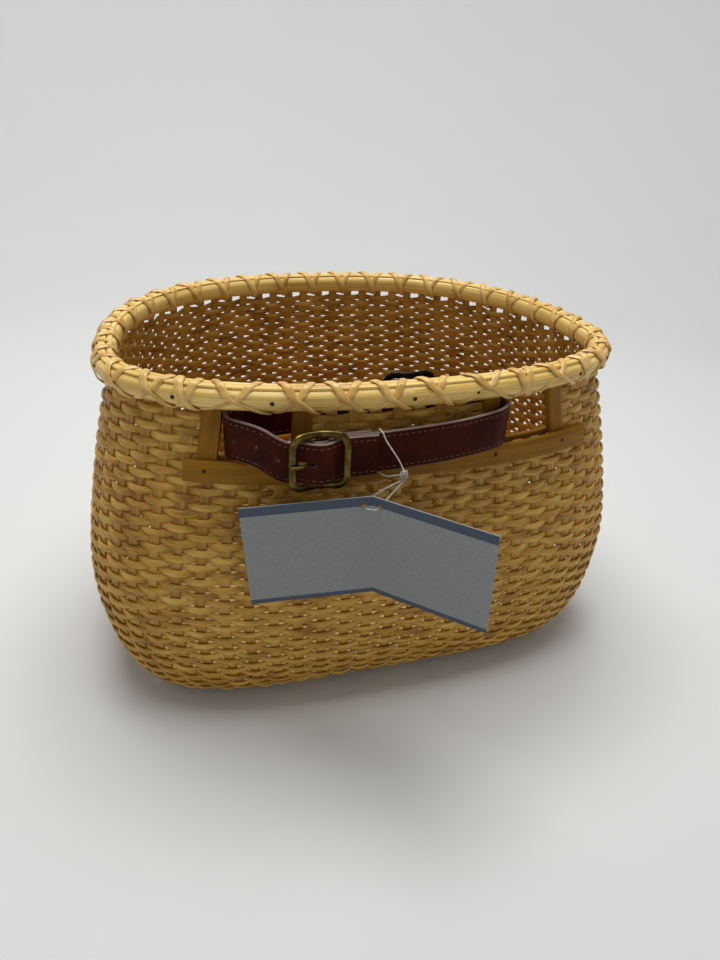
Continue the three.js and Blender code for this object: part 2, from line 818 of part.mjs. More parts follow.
const underBillet = -(strapThickness + layerGap);
const foldPlaces = [
  [returnLength, 2 * underBillet],
  [22, 2 * underBillet - 0.1],
  [12, 2 * underBillet + 0.5],
  [5, -foldRadius - 0.8],
  [0.6, -foldRadius],
  [-foldRadius * Math.SQRT1_2, -foldRadius * Math.SQRT1_2],
  [-foldRadius, 0],
  [-foldRadius * Math.SQRT1_2, foldRadius * Math.SQRT1_2],
  [0.4, foldRadius],
  [4, foldRadius - 0.9],
  [9, underBillet + 2],
  [14, underBillet + 0.1],
  [22, underBillet - 0.1],
  [returnLength, underBillet],
];
const billetPlaces = [
  [-frameReach - 1.5, 0],
  [-frameReach + 1, 0.1],
  [-10, 1.6],
  [-5, crownOut - 1.7],
  [0, crownOut],
  [4.5, crownOut - 0.5],
  [9.5, 3],
  [frameReach - 1.5, 0.25],
  [22, 0],
  [tailLength, 0],
];

// Flat band along a route, standing on edge
function band(route) {
  const curve = new THREE.CatmullRomCurve3(route, false, 'centripetal');
  const spans = 2 * (route.length - 1);
  const sections = [];
  for (let i = 0; i <= spans; i += 1) {
    const place = curve.getPoint(i / spans);
    const forward = curve.getTangent(i / spans);
    const across = new THREE.Vector3(0, 0, 1).addScaledVector(forward, -forward.z).setLength(strapWidth / 2);
    const face = forward.clone().cross(across).setLength(strapThickness / 2);
    sections.push([
      place.clone().add(across).add(face),
      place.clone().add(across).sub(face),
      place.clone().sub(across).sub(face),
      place.clone().sub(across).add(face),
    ]);
  }
  return loft(sections);
}

// Room for the prong: at the fold round the bar, and through the billet
function prongRoom(buckle, from, to, width) {
  const room = new THREE.BoxGeometry(to - from, 4 * crownOut, width);
  return room.translate((from + to) / 2, 0, 0).applyMatrix4(buckle.matrixWorld);
}

function strap(foldBuckle, bend, billetBuckle) {
  const route = [
    ...buckleRoute(foldBuckle, foldPlaces),
    ...bendRoute(bend),
    ...buckleRoute(billetBuckle, billetPlaces),
  ];
  const foldEdge = foldRadius + strapThickness;
  return cut(band(route), [
    prongRoom(foldBuckle, -foldEdge, foldEdge - 1.5, prongEyeWidth + 2 * prongSlotGap),
    prongRoom(billetBuckle, prongSlotFar - frameReach, -prongSlotNear, 2 * (prongRadius + prongSlotGap)),
  ]);
}

// Folded tag: two leaves that open from a crease, with a hole in each for the thread

const strapEnd = buckles.front.localToWorld(new THREE.Vector3(returnLength, -underBillet, 0));
const hang = strapEnd.lerp(bendRoute(rightBend)[0], tagStrapShare);
const tag = new THREE.Group();
tag.position.copy(hang).add(tagFoldOffset);
tag.rotation.copy(tagTurn);
basket.add(tag);

function tagLeaf() {
  const leaf = new THREE.BoxGeometry(tagWidth, tagThickness, tagHeight);
  leaf.translate(tagFoldGap + tagWidth / 2, 0, -tagHeight / 2);
  const hole = new THREE.CylinderGeometry(tagHoleRadius, tagHoleRadius, 4 * tagThickness, 12);
  return cut(leaf, [hole.translate(tagHoleIn, 0, -tagHoleDown)]);
}

function leafHolder(turn) {
  const holder = new THREE.Group();
  holder.rotation.z = turn;
  tag.add(holder);
  holder.updateWorldMatrix(true, false);
  return holder;
}

const leftHolder = leafHolder(Math.PI + tagOpening);
const rightHolder = leafHolder(-tagOpening);
const beadCentre = hang.clone().add(beadOffset);

// String: a loop from the bead over the strap, down behind it and back to the bead
const loopEdge = strapWidth / 2 + stringGap + stringDiameter / 2;
const loopFace = strapThickness / 2 + stringGap + stringDiameter / 2;
const strapLoopRoute = [
  [11.4, -13.4, -6.7],
  [9.4, -10.9, -2],
  [5.4, -7.9, 4.5],
  [2, -5.3, 10],
  [0.4, -loopFace - 1, loopEdge - 0.7],
  [-0.2, -0.8, loopEdge],
  [-0.3, loopFace - 0.7, loopEdge - 0.3],
  [-0.3, loopFace, loopEdge - 3.5],
  [-0.1, loopFace, 5],
  [0, loopFace, -3],
  [0.2, loopFace, 3 - loopEdge],
  [0.6, loopFace - 0.6, 0.3 - loopEdge],
  [1.8, -0.6, -loopEdge - 0.6],
  [4.2, -4.9, -loopEdge - 0.2],
  [7, -9, -12.7],
  [9.6, -12.3, -10.8],
].map((point) => new THREE.Vector3(...point).add(hang));

// Thread: from the bead through the right leaf, across the crease and back through the left leaf
const threadBend = 2.3; // how far the thread stands off a leaf at its hole
const holeSpot = (holder, forward) => holder.localToWorld(
  new THREE.Vector3(tagHoleIn, forward, -tagHoleDown),
);
const threadStart = beadCentre.clone().add(new THREE.Vector3(-0.7, -0.6, -3.9));
const threadEnd = beadCentre.clone().add(new THREE.Vector3(-1.4, 0.7, -3.8));
const behindRight = holeSpot(rightHolder, threadBend);
const behindLeft = holeSpot(leftHolder, -threadBend);
const between = (from, to, share, back, up) => {
  const sag = new THREE.Vector3(0, back, up);
  return from.clone().lerp(to, share).add(sag);
};
const tagThreadRoute = [
  threadStart,
  between(threadStart, behindRight, 0.3, 0.6, -0.5),
  between(threadStart, behindRight, 0.57, 0.8, -0.7),
  between(threadStart, behindRight, 0.84, 0.4, -0.4),
  behindRight,
  holeSpot(rightHolder, 0),
  holeSpot(rightHolder, -threadBend * 0.7).add(new THREE.Vector3(-0.6, 0, 0)),
  between(holeSpot(rightHolder, -threadBend), holeSpot(leftHolder, threadBend), 0.5, 0, -0.3),
  holeSpot(leftHolder, threadBend * 0.8).add(new THREE.Vector3(0.5, 0, 0)),
  holeSpot(leftHolder, 0),
  behindLeft,
  between(behindLeft, threadEnd, 0.12, 1.3, 0),
  between(behindLeft, threadEnd, 0.36, 1.5, 0.2),
  between(behindLeft, threadEnd, 0.64, 1.1, 0.3),
  between(behindLeft, threadEnd, 0.87, 0.5, 0.1),
  threadEnd,
];

function cord(points) {
  const curve = new THREE.CatmullRomCurve3(points);
  const section = new THREE.Shape();
  for (let i = 0; i < stringSides; i += 1) {
    const angle = (2 * Math.PI * i) / stringSides;
    const corner = [(stringDiameter / 2) * Math.cos(angle), (stringDiameter / 2) * Math.sin(angle)];
    if (i === 0) section.moveTo(...corner);
    else section.lineTo(...corner);
  }
  const steps = Math.round(curve.getLength() / (2.5 * stringDiameter));
  return new THREE.ExtrudeGeometry(section, { steps, extrudePath: curve, bevelEnabled: false });
}

// Assembly

addPiece('base_board', baseBoard(), 'board');
addPiece('stave_cage', staveCage(), 'stave');
const weaveSkins = {
  outside: weaveSkin(staveThickness / 2 + weaveGap, wallHalf),
  inside: weaveSkin(-wallHalf, -staveThickness / 2 - weaveGap),
};
for (const [side, skin] of Object.entries(weaveSkins)) {
  const besideSlots = cut(skin, [belowSill]);
  addPiece(`weavers_${side}`, cut(skin, [aboveSill]), 'cane');
  addPiece(`upper_weavers_${side}`, cut(besideSlots, [middleRoom]), 'cane');
  addPiece(`middle_weavers_${side}`, keep(besideSlots, middleRoom), 'cane');
}

for (const place of postPlaces) {
  const axis = railNailAxis(place);
  addPiece(`${place.name}_post`, cut(post(place.x), railDrills), 'rim');
  addPiece(`${place.name}_rail_nail`, driven(nail(railNailLength), axis.place, axis.outward), 'nail');
}
addPiece('outer_rail', cut(rail(railSeat, railFace), railDrills), 'rim');
addPiece('inner_rail', cut(rail(-railSeat, -railFace), railDrills), 'rim');

const outerHoop = rimRing(hoopSection(1, hoopSeat, hoopFace, outerHoopRound));
const innerHoop = rimRing(hoopSection(-1, hoopSeat, hoopBack, innerHoopRound));
addPiece('outer_rim_hoop', cut(outerHoop, rimDrills), 'rim');
addPiece('inner_rim_hoop', cut(innerHoop, rimDrills), 'rim');
addPiece('rim_cap_strip', rimRing(capSection), 'rim');
addPiece('rim_lashing_first', lashing('rim_lashing_first', 1, firstPass), 'cane');
addPiece('rim_lashing_second', lashing('rim_lashing_second', -1, secondPass), 'cane');
nailStations.forEach((station, i) => {
  const axis = rimNailAxis(station);
  const name = `rim_nail_${String(i + 1).padStart(2, '0')}`;
  addPiece(name, driven(nail(rimNailLength), axis.place, axis.outward), 'nail');
});

addPiece('front_buckle_strap', strap(buckles.front, rightBend, buckles.inner), 'leather');
addPiece('inner_buckle_strap', strap(buckles.inner, leftBend, buckles.front), 'leather');
for (const [name, buckle] of Object.entries(buckles)) {
  addPiece(`${name}_buckle_frame`, buckleFrame(), 'brass', buckle);
  addPiece(`${name}_buckle_prong`, prong(), 'brass', buckle);
}

addPiece('tag_left_leaf', tagLeaf(), 'card', leftHolder);
addPiece('tag_right_leaf', tagLeaf(), 'card', rightHolder);
addPiece('tag_strap_loop', cord(strapLoopRoute), 'string');
addPiece('tag_thread', cord(tagThreadRoute), 'string');
const bead = new THREE.SphereGeometry(1, 10, 8).rotateX(Math.PI / 2);
bead.scale(beadRadius, beadRadius, beadHalfLength);
addPiece('tag_bead', bead.translate(beadCentre.x, beadCentre.y, beadCentre.z), 'bead');

export default basket;
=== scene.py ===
import math
import random
import bmesh
import bpy
import numpy as np
from mathutils import Matrix, Vector


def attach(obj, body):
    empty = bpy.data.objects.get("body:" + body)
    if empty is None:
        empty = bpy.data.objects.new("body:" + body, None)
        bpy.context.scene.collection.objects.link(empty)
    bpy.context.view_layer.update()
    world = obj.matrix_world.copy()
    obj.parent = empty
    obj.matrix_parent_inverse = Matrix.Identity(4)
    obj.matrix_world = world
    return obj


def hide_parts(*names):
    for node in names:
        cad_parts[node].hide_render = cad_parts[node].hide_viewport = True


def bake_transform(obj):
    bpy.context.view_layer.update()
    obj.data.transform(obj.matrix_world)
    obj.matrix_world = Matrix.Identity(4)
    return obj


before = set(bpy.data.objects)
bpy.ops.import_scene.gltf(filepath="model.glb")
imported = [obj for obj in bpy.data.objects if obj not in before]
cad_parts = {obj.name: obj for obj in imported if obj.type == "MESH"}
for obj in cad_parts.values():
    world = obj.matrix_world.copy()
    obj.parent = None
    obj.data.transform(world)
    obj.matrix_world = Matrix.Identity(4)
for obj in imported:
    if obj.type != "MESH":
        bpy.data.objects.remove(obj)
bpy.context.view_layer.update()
scene = bpy.context.scene
scene.view_settings.view_transform = "Standard"
mm = 0.001  # lengths below are millimetres, as on a drawing
chance = random.Random(11)


def newObject(name, data):
    thing = bpy.data.objects.new(name, data)
    scene.collection.objects.link(thing)
    return thing


# camera, at the photograph's place
shot = {
    "place": (-156.855, -479.530, 412.017),
    "azimuth": -18.2103,
    "elevation": 29.1994,
    "roll": 3.1425,
    "lens": 27.0375,  # on a 36 mm frame, along the long side
}


def setCamera():
    azimuth, elevation, roll = (math.radians(shot[key]) for key in ("azimuth", "elevation", "roll"))
    turn = Matrix.Rotation(azimuth, 4, "Z") @ Matrix.Rotation(math.pi / 2 - elevation, 4, "X")
    data = bpy.data.cameras.new("photoCamera")
    data.lens = shot["lens"]
    data.sensor_width = 36
    scene.camera = newObject("photoCamera", data)
    place = Matrix.Translation(Vector(shot["place"]) * mm)
    scene.camera.matrix_world = place @ turn @ Matrix.Rotation(roll, 4, "Z")


setCamera()
print("camera set")


# colours are written as 0 to 255 screen values
def shade(red, green, blue):
    def linear(value):
        value /= 255
        return value / 12.92 if value <= 0.04045 else ((value + 0.055) / 1.055) ** 2.4
    return (linear(red), linear(green), linear(blue), 1)


def newFinish(name, **sockets):
    material = bpy.data.materials.new(name)
    material.use_nodes = True
    shader = material.node_tree.nodes["Principled BSDF"]
    for socket, value in sockets.items():
        shader.inputs[socket.replace("_", " ")].default_value = value
    return material, material.node_tree, shader


def addNode(tree, kind, links=None, **values):
    node = tree.nodes.new(kind)
    for name, value in values.items():
        if name in node.inputs:
            node.inputs[name].default_value = value
        else:
            setattr(node, name, value)
    for socket, source in (links or {}).items():
        tree.links.new(source, node.inputs[socket])
    return node


# the piece's own map ("UV", in metres) or its place ("Object"), scaled
def addPlace(tree, source, scale):
    place = addNode(tree, "ShaderNodeTexCoord")
    mapping = addNode(tree, "ShaderNodeMapping", {"Vector": place.outputs[source]})
    mapping.inputs["Scale"].default_value = scale if isinstance(scale, tuple) else (scale,) * 3
    return mapping.outputs[0]


def addNoise(tree, source, scale, detail=3, roughness=0.55):
    return addNode(
        tree, "ShaderNodeTexNoise", {"Vector": addPlace(tree, source, scale)},
        Scale=1.0, Detail=detail, Roughness=roughness,
    ).outputs["Fac"]


def addRamp(tree, source, places, colours):
    node = addNode(tree, "ShaderNodeValToRGB", {"Fac": source})
    ramp = node.color_ramp
    while len(ramp.elements) < len(places):
        ramp.elements.new(0.5)
    for element, place, colour in zip(ramp.elements, places, colours):
        element.position = place
        element.color = colour
    return node.outputs["Color"]


def feed(tree, socket, source):
    if isinstance(source, (int, float, tuple)):
        socket.default_value = source
    else:
        tree.links.new(source, socket)


def addMix(tree, first, second, share):
    node = addNode(tree, "ShaderNodeMix", data_type="RGBA")
    for socket, source in ((0, share), (6, first), (7, second)):
        feed(tree, node.inputs[socket], source)
    return node.outputs[2]


def addMath(tree, operation, first, second):
    node = addNode(tree, "ShaderNodeMath", operation=operation)
    feed(tree, node.inputs[0], first)
    feed(tree, node.inputs[1], second)
    return node.outputs[0]


def addRange(tree, source, low, high, outLow, outHigh):
    node = addNode(tree, "ShaderNodeMapRange", {"Value": source})
    for socket, value in zip((1, 2, 3, 4), (low, high, outLow, outHigh)):
        node.inputs[socket].default_value = value
    return node.outputs["Result"]


def addBump(tree, shader, height, strength, distance):
    bump = addNode(tree, "ShaderNodeBump", {"Height": height}, Strength=strength, Distance=distance)
    tree.links.new(bump.outputs[0], shader.inputs["Normal"])


# colour from a tone, and gloss and fine relief from a grain
def dress(tree, shader, tone, places, tones, grain=None, gloss=None, relief=None):
    colour = addRamp(tree, tone, places, [shade(*screen) for screen in tones])
    tree.links.new(colour, shader.inputs["Base Color"])
    if gloss:
        tree.links.new(addRange(tree, grain, 0.3, 0.7, *gloss), shader.inputs["Roughness"])
    if relief:
        addBump(tree, shader, grain, *relief)


# split cane and wood: fibres along the piece, slow changes of tone over it
def fibreFinish(name, look):
    material, tree, shader = newFinish(
        name, Coat_Weight=look["coat"], Coat_Roughness=0.35, Specular_IOR_Level=look["sheen"])
    fibre = addNoise(tree, "UV", look["fibre"], 4, 0.6)
    tone = addMix(tree, fibre, addNoise(tree, "UV", look["streak"], 2), 0.5)
    tone = addMix(tree, tone, addNoise(tree, "Object", look["patch"]), look["patchShare"])
    relief = (look["relief"], 0.0004)
    dress(tree, shader, tone, (0.34, 0.5, 0.66), look["tones"], fibre, look["gloss"], relief)
    return material


# evenly spaced directions round a circle, as (cosine, sine)
def circle(count):
    turns = [2 * math.pi * i / count for i in range(count)]
    return [(math.cos(turn), math.sin(turn)) for turn in turns]


# squares off a circle's cosine or sine and keeps its sign
def bulge(value, power):
    return math.copysign(abs(value) ** power, value)


# distance walked at each point of a route
def walkedLengths(route):
    lengths = [0.0]
    for near, far in zip(route, route[1:]):
        lengths.append(lengths[-1] + (far - near).length)
    return lengths


# shapes: sections drawn one after another with the extrude operator
def newForm():
    form = bmesh.new()
    form.verts.layers.int.new("corner")
    form.verts.layers.int.new("station")
    form.loops.layers.uv.new("UVMap")
    return form


# the sides numbered in edges, and the ends of a piece that has them, take the second finish
def drawThrough(form, sections, closed=False, edges=()):
    corner = form.verts.layers.int["corner"]
    station = form.verts.layers.int["station"]
    uvMap = form.loops.layers.uv["UVMap"]
    count = len(sections[0])
    steps = sections + sections[:1] if closed else sections
    first = [form.verts.new(place) for place in sections[0]]
    for index, vert in enumerate(first):
        vert[corner] = index
        vert[station] = 0
    ring = [form.edges.new((first[i], first[(i + 1) % count])) for i in range(count)]
    firstRing = ring
    faces = []
    for step, section in enumerate(steps[1:], 1):
        made = bmesh.ops.extrude_edge_only(form, edges=ring)["geom"]
        for vert in made:
            if isinstance(vert, bmesh.types.BMVert):
                vert.co = section[vert[corner]]
                vert[station] = step
        faces += [face for face in made if isinstance(face, bmesh.types.BMFace)]
        ring = [
            edge for edge in made
            if isinstance(edge, bmesh.types.BMEdge) and all(vert[station] == step for vert in edge.verts)
        ]
    along = walkedLengths([section[0] for section in steps])
    around = walkedLengths(sections[0] + sections[0][:1])
    for face in faces:
        corners = {vert[corner] for vert in face.verts}
        wraps = count > 2 and 0 in corners and count - 1 in corners
        side = count - 1 if wraps else min(corners)
        face.material_index = 1 if side in edges else 0
        for loop in face.loops:
            place = loop.vert[corner]
            if wraps and place == 0:
                place = count
            loop[uvMap].uv = (along[loop.vert[station]], around[place])
    if closed:
        last = [vert for edge in ring for vert in edge.verts]
        bmesh.ops.remove_doubles(form, verts=list(dict.fromkeys(first + last)), dist=1e-7)
    else:
        for loopEdges in (firstRing, ring):
            cap = bmesh.ops.edgeloop_fill(form, edges=loopEdges, mat_nr=1 if edges else 0)
            for face in cap["faces"]:
                for loop in face.loops:
                    loop[uvMap].uv = (loop.vert.co.x, loop.vert.co.z)


def meshFrom(form):
    bmesh.ops.recalc_face_normals(form, faces=form.faces)
    mesh = bpy.data.meshes.new("form")
    form.to_mesh(mesh)
    form.free()
    return mesh


# shape: a mesh, or a form that is still open
def addPiece(name, shape, body, finishes, nodes=(), sharp=50):
    mesh = meshFrom(shape) if isinstance(shape, bmesh.types.BMesh) else shape
    mesh.name = name
    if not mesh.materials:
        for finish in finishes:
            mesh.materials.append(finish)
    mesh.shade_smooth()
    mesh.set_sharp_from_angle(angle=math.radians(sharp))
    piece = newObject(name, mesh)
    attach(piece, body)
    if nodes:
        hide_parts(*nodes)
    return piece


def addDrawn(name, sections, body, finish, nodes, sharp, closed=False):
    form = newForm()
    drawThrough(form, sections, closed)
    return addPiece(name, form, body, [finish], nodes, sharp)


# the mesh that a curve or a row of modifiers makes
def evaluatedMesh(thing, helpers=()):
    mesh = bpy.data.meshes.new_from_object(thing.evaluated_get(bpy.context.evaluated_depsgraph_get()))
    for used in (thing, *helpers):
        bpy.data.objects.remove(used)
    return mesh


# cuts one mesh with others; cut faces take the cutter's finish
def carve(mesh, cutters, finishes):
    for part in [mesh] + cutters:
        for finish in finishes:
            part.materials.append(finish)
    body = newObject("carved", mesh)
    tools = [newObject("cutter", cutter) for cutter in cutters]
    for tool in tools:
        step = body.modifiers.new("cut", "BOOLEAN")
        step.object = tool
        step.operation = "DIFFERENCE"
        step.solver = "EXACT"
    return evaluatedMesh(body, tools)


def cutterMesh(form, finishNumber):
    for face in form.faces:
        face.material_index = finishNumber
    return meshFrom(form)


def roundCutter(place, radius, depth, finishNumber):
    form = bmesh.new()
    bmesh.ops.create_cone(
        form, cap_ends=True, segments=20, radius1=radius * mm, radius2=radius * mm, depth=depth * mm,
        matrix=place)
    return cutterMesh(form, finishNumber)


# a place in millimetres as one in metres
def scaled(place):
    return Matrix.Translation(place.translation * mm) @ place.to_3x3().to_4x4()


# smooth route through points, evenly weighted so that it never overshoots a tight bend
def smoothRoute(points, perSpan):
    points = [Vector(point) for point in points]
    ends = [2 * points[0] - points[1]] + points + [2 * points[-1] - points[-2]]
    route = []
    for i in range(len(points) - 1):
        p0, p1, p2, p3 = ends[i:i + 4]
        t0, t1, t2 = ((b - a).length ** 0.5 for a, b in ((p0, p1), (p1, p2), (p2, p3)))
        m1 = ((p1 - p0) / t0 - (p2 - p0) / (t0 + t1) + (p2 - p1) / t1) * t1
        m2 = ((p2 - p1) / t1 - (p3 - p1) / (t1 + t2) + (p3 - p2) / t2) * t1
        for j in range(perSpan):
            t = j / perSpan
            route.append(
                (2 * t ** 3 - 3 * t ** 2 + 1) * p1 + (t ** 3 - 2 * t ** 2 + t) * m1
                + (3 * t ** 2 - 2 * t ** 3) * p2 + (t ** 3 - t ** 2) * m2)
    return route + [points[-1]]


def tangents(route):
    last = len(route) - 1
    return [(route[min(i + 1, last)] - route[max(i - 1, 0)]).normalized() for i in range(last + 1)]


# the tag's place: it hangs from the front strap, its leaves turned about the crease
tagPlace = {
    "hang": Vector((-24.07, -110.33, 213.41)),
    "crease": Vector((-9.5, -20, -18.8)),
    "turn": (0.109, -0.092, -0.467),
    "opening": 0.313,
    "bead": Vector((12, -14, -10.5)),
    "holeIn": 5,
    "holeDown": 7,
}
hang = tagPlace["hang"]
beadCentre = hang + tagPlace["bead"]
tagFrame = Matrix.Translation(hang + tagPlace["crease"])
tagFrame @= Matrix.Rotation(tagPlace["turn"][1], 4, "Y") @ Matrix.Rotation(tagPlace["turn"][0], 4, "X")
tagFrame @= Matrix.Rotation(tagPlace["turn"][2], 4, "Z")
leftLeaf = tagFrame @ Matrix.Rotation(math.pi + tagPlace["opening"], 4, "Z")
rightLeaf = tagFrame @ Matrix.Rotation(-tagPlace["opening"], 4, "Z")


def holeSpot(leaf, forward):
    return leaf @ Vector((tagPlace["holeIn"], forward, -tagPlace["holeDown"]))


# cords: both are seen from end to end
cordLook = {
    "diameter": 0.9,
    "loopLength": 0.0777,
    "threadLength": 0.064,
    "tones": ((205, 203, 196), (244, 243, 238)),
    "blend": (3.3, 0.7),  # the thread goes over to the right leaf between these distances from its hole
}


def cordFinish():
    material, tree, shader = newFinish("clearString", Roughness=0.3, IOR=1.45, Transmission_Weight=0.35)
    dress(tree, shader, addNoise(tree, "Object", 900, 2), (0.35, 0.65), cordLook["tones"])
    return material


def cordCurve(name, points, finish):
    curve = bpy.data.curves.new(name, "CURVE")
    curve.dimensions = "3D"
    curve.bevel_depth = cordLook["diameter"] / 2 * mm
    curve.bevel_resolution = 3
    curve.resolution_u = 6
    curve.use_fill_caps = True
    spline = curve.splines.new("BEZIER")
    spline.bezier_points.add(len(points) - 1)
    for knot, point in zip(spline.bezier_points, points):
        knot.co = point * mm
        knot.handle_left_type = knot.handle_right_type = "AUTO"
    curve.materials.append(finish)
    return curve


def curveMesh(curve):
    return evaluatedMesh(newObject("holder", curve))


loopRoute = [hang + Vector(point) for point in (
    (11.4, -13.4, -6.7), (9.4, -10.9, -2), (5.4, -7.9, 4.5), (2, -5.3, 10), (0.4, -3.45, 13.95),
    (-0.2, -0.8, 14.65), (-0.3, 1.75, 14.35), (-0.3, 2.45, 11.15), (-0.1, 2.45, 5), (0, 2.45, -3),
    (0.2, 2.45, -11.65), (0.6, 1.85, -14.35), (1.8, -0.6, -15.25), (4.2, -4.9, -14.85),
    (7, -9, -12.7), (9.6, -12.3, -10.8))]
threadStart = beadCentre + Vector((-0.7, -0.6, -3.9))
threadEnd = beadCentre + Vector((-1.4, 0.7, -3.8))
behindRight = holeSpot(rightLeaf, 2.3)
behindLeft = holeSpot(leftLeaf, -2.3)
threadRoute = [
    threadStart,
    threadStart.lerp(behindRight, 0.3) + Vector((0, 0.6, -0.5)),
    threadStart.lerp(behindRight, 0.57) + Vector((0, 0.8, -0.7)),
    threadStart.lerp(behindRight, 0.84) + Vector((0, 0.4, -0.4)),
    behindRight,
    holeSpot(rightLeaf, 0),
    holeSpot(rightLeaf, -1.61) + Vector((-0.6, 0, 0)),
    holeSpot(rightLeaf, -2.3).lerp(holeSpot(leftLeaf, 2.3), 0.5) + Vector((0, 0, -0.3)),
    holeSpot(leftLeaf, 1.84) + Vector((0.5, 0, 0)),
    holeSpot(leftLeaf, 0),
    behindLeft,
    behindLeft.lerp(threadEnd, 0.12) + Vector((0, 1.3, 0)),
    behindLeft.lerp(threadEnd, 0.36) + Vector((0, 1.5, 0.2)),
    behindLeft.lerp(threadEnd, 0.64) + Vector((0, 1.1, 0.3)),
    behindLeft.lerp(threadEnd, 0.87) + Vector((0, 0.5, 0.1)),
    threadEnd,
]
clearString = cordFinish()
tagLoop = newObject("tagLoop", cordCurve("tagLoop", loopRoute, clearString))
threadCurve = cordCurve("tagThread", threadRoute, clearString)
tagThread = newObject("tagThread", curveMesh(threadCurve))
threadCurve.bevel_depth = 0
threadPath = [vertex.co.copy() for vertex in curveMesh(threadCurve).vertices]
for piece, node in ((tagLoop, "tag_strap_loop"), (tagThread, "tag_thread")):
    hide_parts(node)
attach(tagLoop, "strap_loop")
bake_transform(tagThread)
for label, route in (("loop", loopRoute), ("thread", threadRoute)):
    print("cord", label, round(walkedLengths(smoothRoute(route, 12))[-1], 1), "mm")

# the wall's outlines: half width, reach to the front and back, squareness of each
wall = {
    "base": (159, 70, 137, 4.4, 3.2),
    "belly": (204, 109, 187, 2.8, 2.5),
    "rim": (178.5, 93, 175, 2.3, 2.42),
    "baseHeight": 5,
    "bellyHeight": 95,
    "weaveTop": 231.9,
    "staveTop": 247.5,
    "shoulderPower": 1.35,
    "staves": 72,
}


def levelOutline(step):
    base, belly, rim = (np.array(wall[key], float) for key in ("base", "belly", "rim"))
    if step <= 1:
        turn = step * math.pi / 2
        height = wall["bellyHeight"] - (wall["bellyHeight"] - wall["baseHeight"]) * math.cos(turn)
        return height, base + (belly - base) * math.sin(turn)
    if step <= 2:
        height = wall["bellyHeight"] + (wall["weaveTop"] - wall["bellyHeight"]) * (step - 1)
        return height, belly + (rim - belly) * (step - 1) ** wall["shoulderPower"]
    return wall["weaveTop"] + (wall["staveTop"] - wall["weaveTop"]) * (step - 2), rim


def stepAt(height):
    return 1 + (height - wall["bellyHeight"]) / (wall["weaveTop"] - wall["bellyHeight"])


# places round one level at equal shares of its length, from the front centre towards +X
def levelRing(step, shares):
    height, (half, front, back, frontPower, backPower) = levelOutline(step)
    turn = np.linspace(0, 2 * math.pi, 2881)
    sine, cosine = np.sin(turn), np.cos(turn)
    power = np.where(cosine >= 0, 2 / frontPower, 2 / backPower)
    x = half * np.sign(sine) * np.abs(sine) ** power
    y = np.where(cosine >= 0, -front, back) * np.abs(cosine) ** power
    length = np.concatenate([[0], np.cumsum(np.hypot(np.diff(x), np.diff(y)))])
    where = np.mod(shares, 1) * length[-1]
    x, y = (np.interp(where, length, values) for values in (x, y))
    return np.stack([x, y, np.full(len(where), height)], 1)


# places on the wall and the ways out of it, from the spots beside, above and below
def wallPlaces(step, shares):
    shares = np.asarray(shares, float)
    along = levelRing(step, shares + 0.002) - levelRing(step, shares - 0.002)
    if step < 2:
        climb = levelRing(step + 0.004, shares) - levelRing(max(step - 0.004, 0), shares)
    else:
        climb = np.tile([0.0, 0.0, 1.0], (len(shares), 1))
    normals = np.cross(along, climb)
    normals /= np.linalg.norm(normals, axis=1)[:, None]
    return levelRing(step, shares), normals


# one spot of the wall: its place, the way along the row and the way out
def wallSpot(step, share):
    places, normals = wallPlaces(step, [share])
    ring = levelRing(step, [share - 0.001, share + 0.001])
    return Vector(places[0]), Vector(ring[1] - ring[0]).normalized(), Vector(normals[0])


rimStep = 2.5  # half way up the rim, counted as in levelOutline
rimLine = levelRing(rimStep, np.linspace(0, 0.9999, 1000))
rimLength = float(np.sum(np.linalg.norm(np.diff(rimLine, axis=0), axis=1)))

# strap slots on the handlebar side: the posts beside them, from and to along the width
slots = {
    "posts": {
        "left_outer": (-128, -115.5), "left_inner": (-74.5, -62),
        "right_inner": (52, 64.5), "right_outer": (105.5, 118),
    },
    "middle": 219,
    "railTop": 204.5,
    "railBottom": 191,
}
posts = slots["posts"]
openings = (
    (posts["left_outer"][0], posts["left_inner"][1]), (posts["right_inner"][0], posts["right_outer"][1]))
frontShares = np.linspace(-0.2, 0.2, 801)
frontXs = levelRing(stepAt(slots["middle"]), frontShares)[:, 0]


def shareAtX(x):
    return float(np.interp(x, frontXs, frontShares))


def inSlot(share, margin):
    share = (share + 0.5) % 1 - 0.5
    return any(shareAtX(low) - margin < share < shareAtX(high) + margin for low, high in openings)


# weaving: flat-oval canes over one stave and under the next
weave = {
    "pitch": 5.2,
    "width": 5.25,
    "thickness": 2.2,
    "firstRow": 0.45,  # height of the lowest row, in pitches
    "sway": 1.9,  # how far a cane swings to each side of the staves
    "swayPower": 0.85,
    "swaySpread": (0.94, 1.06),
    "endSway": 0.2,  # share of the swing at a cane's end
    "perStave": 6,
    "pinch": 0.04,  # narrowing where it passes between staves
    "pinchPower": 1.5,
    "drift": 0.28,  # unevenness of a row's height
    "hold": 3,  # how far a cane's end reaches into a post
    "sill": 3.2,  # rows nearer than this to the rails' top stop at the slots
    "look": {
        "tones": ((122, 75, 16), (192, 143, 52), (226, 184, 92)),
        "fibre": (240, 30, 1), "streak": (60, 9, 1), "patch": (38, 38, 150),
        "patchShare": 0.6, "gloss": (0.36, 0.58), "relief": 0.3, "coat": 0.1, "sheen": 0.35,
    },
}


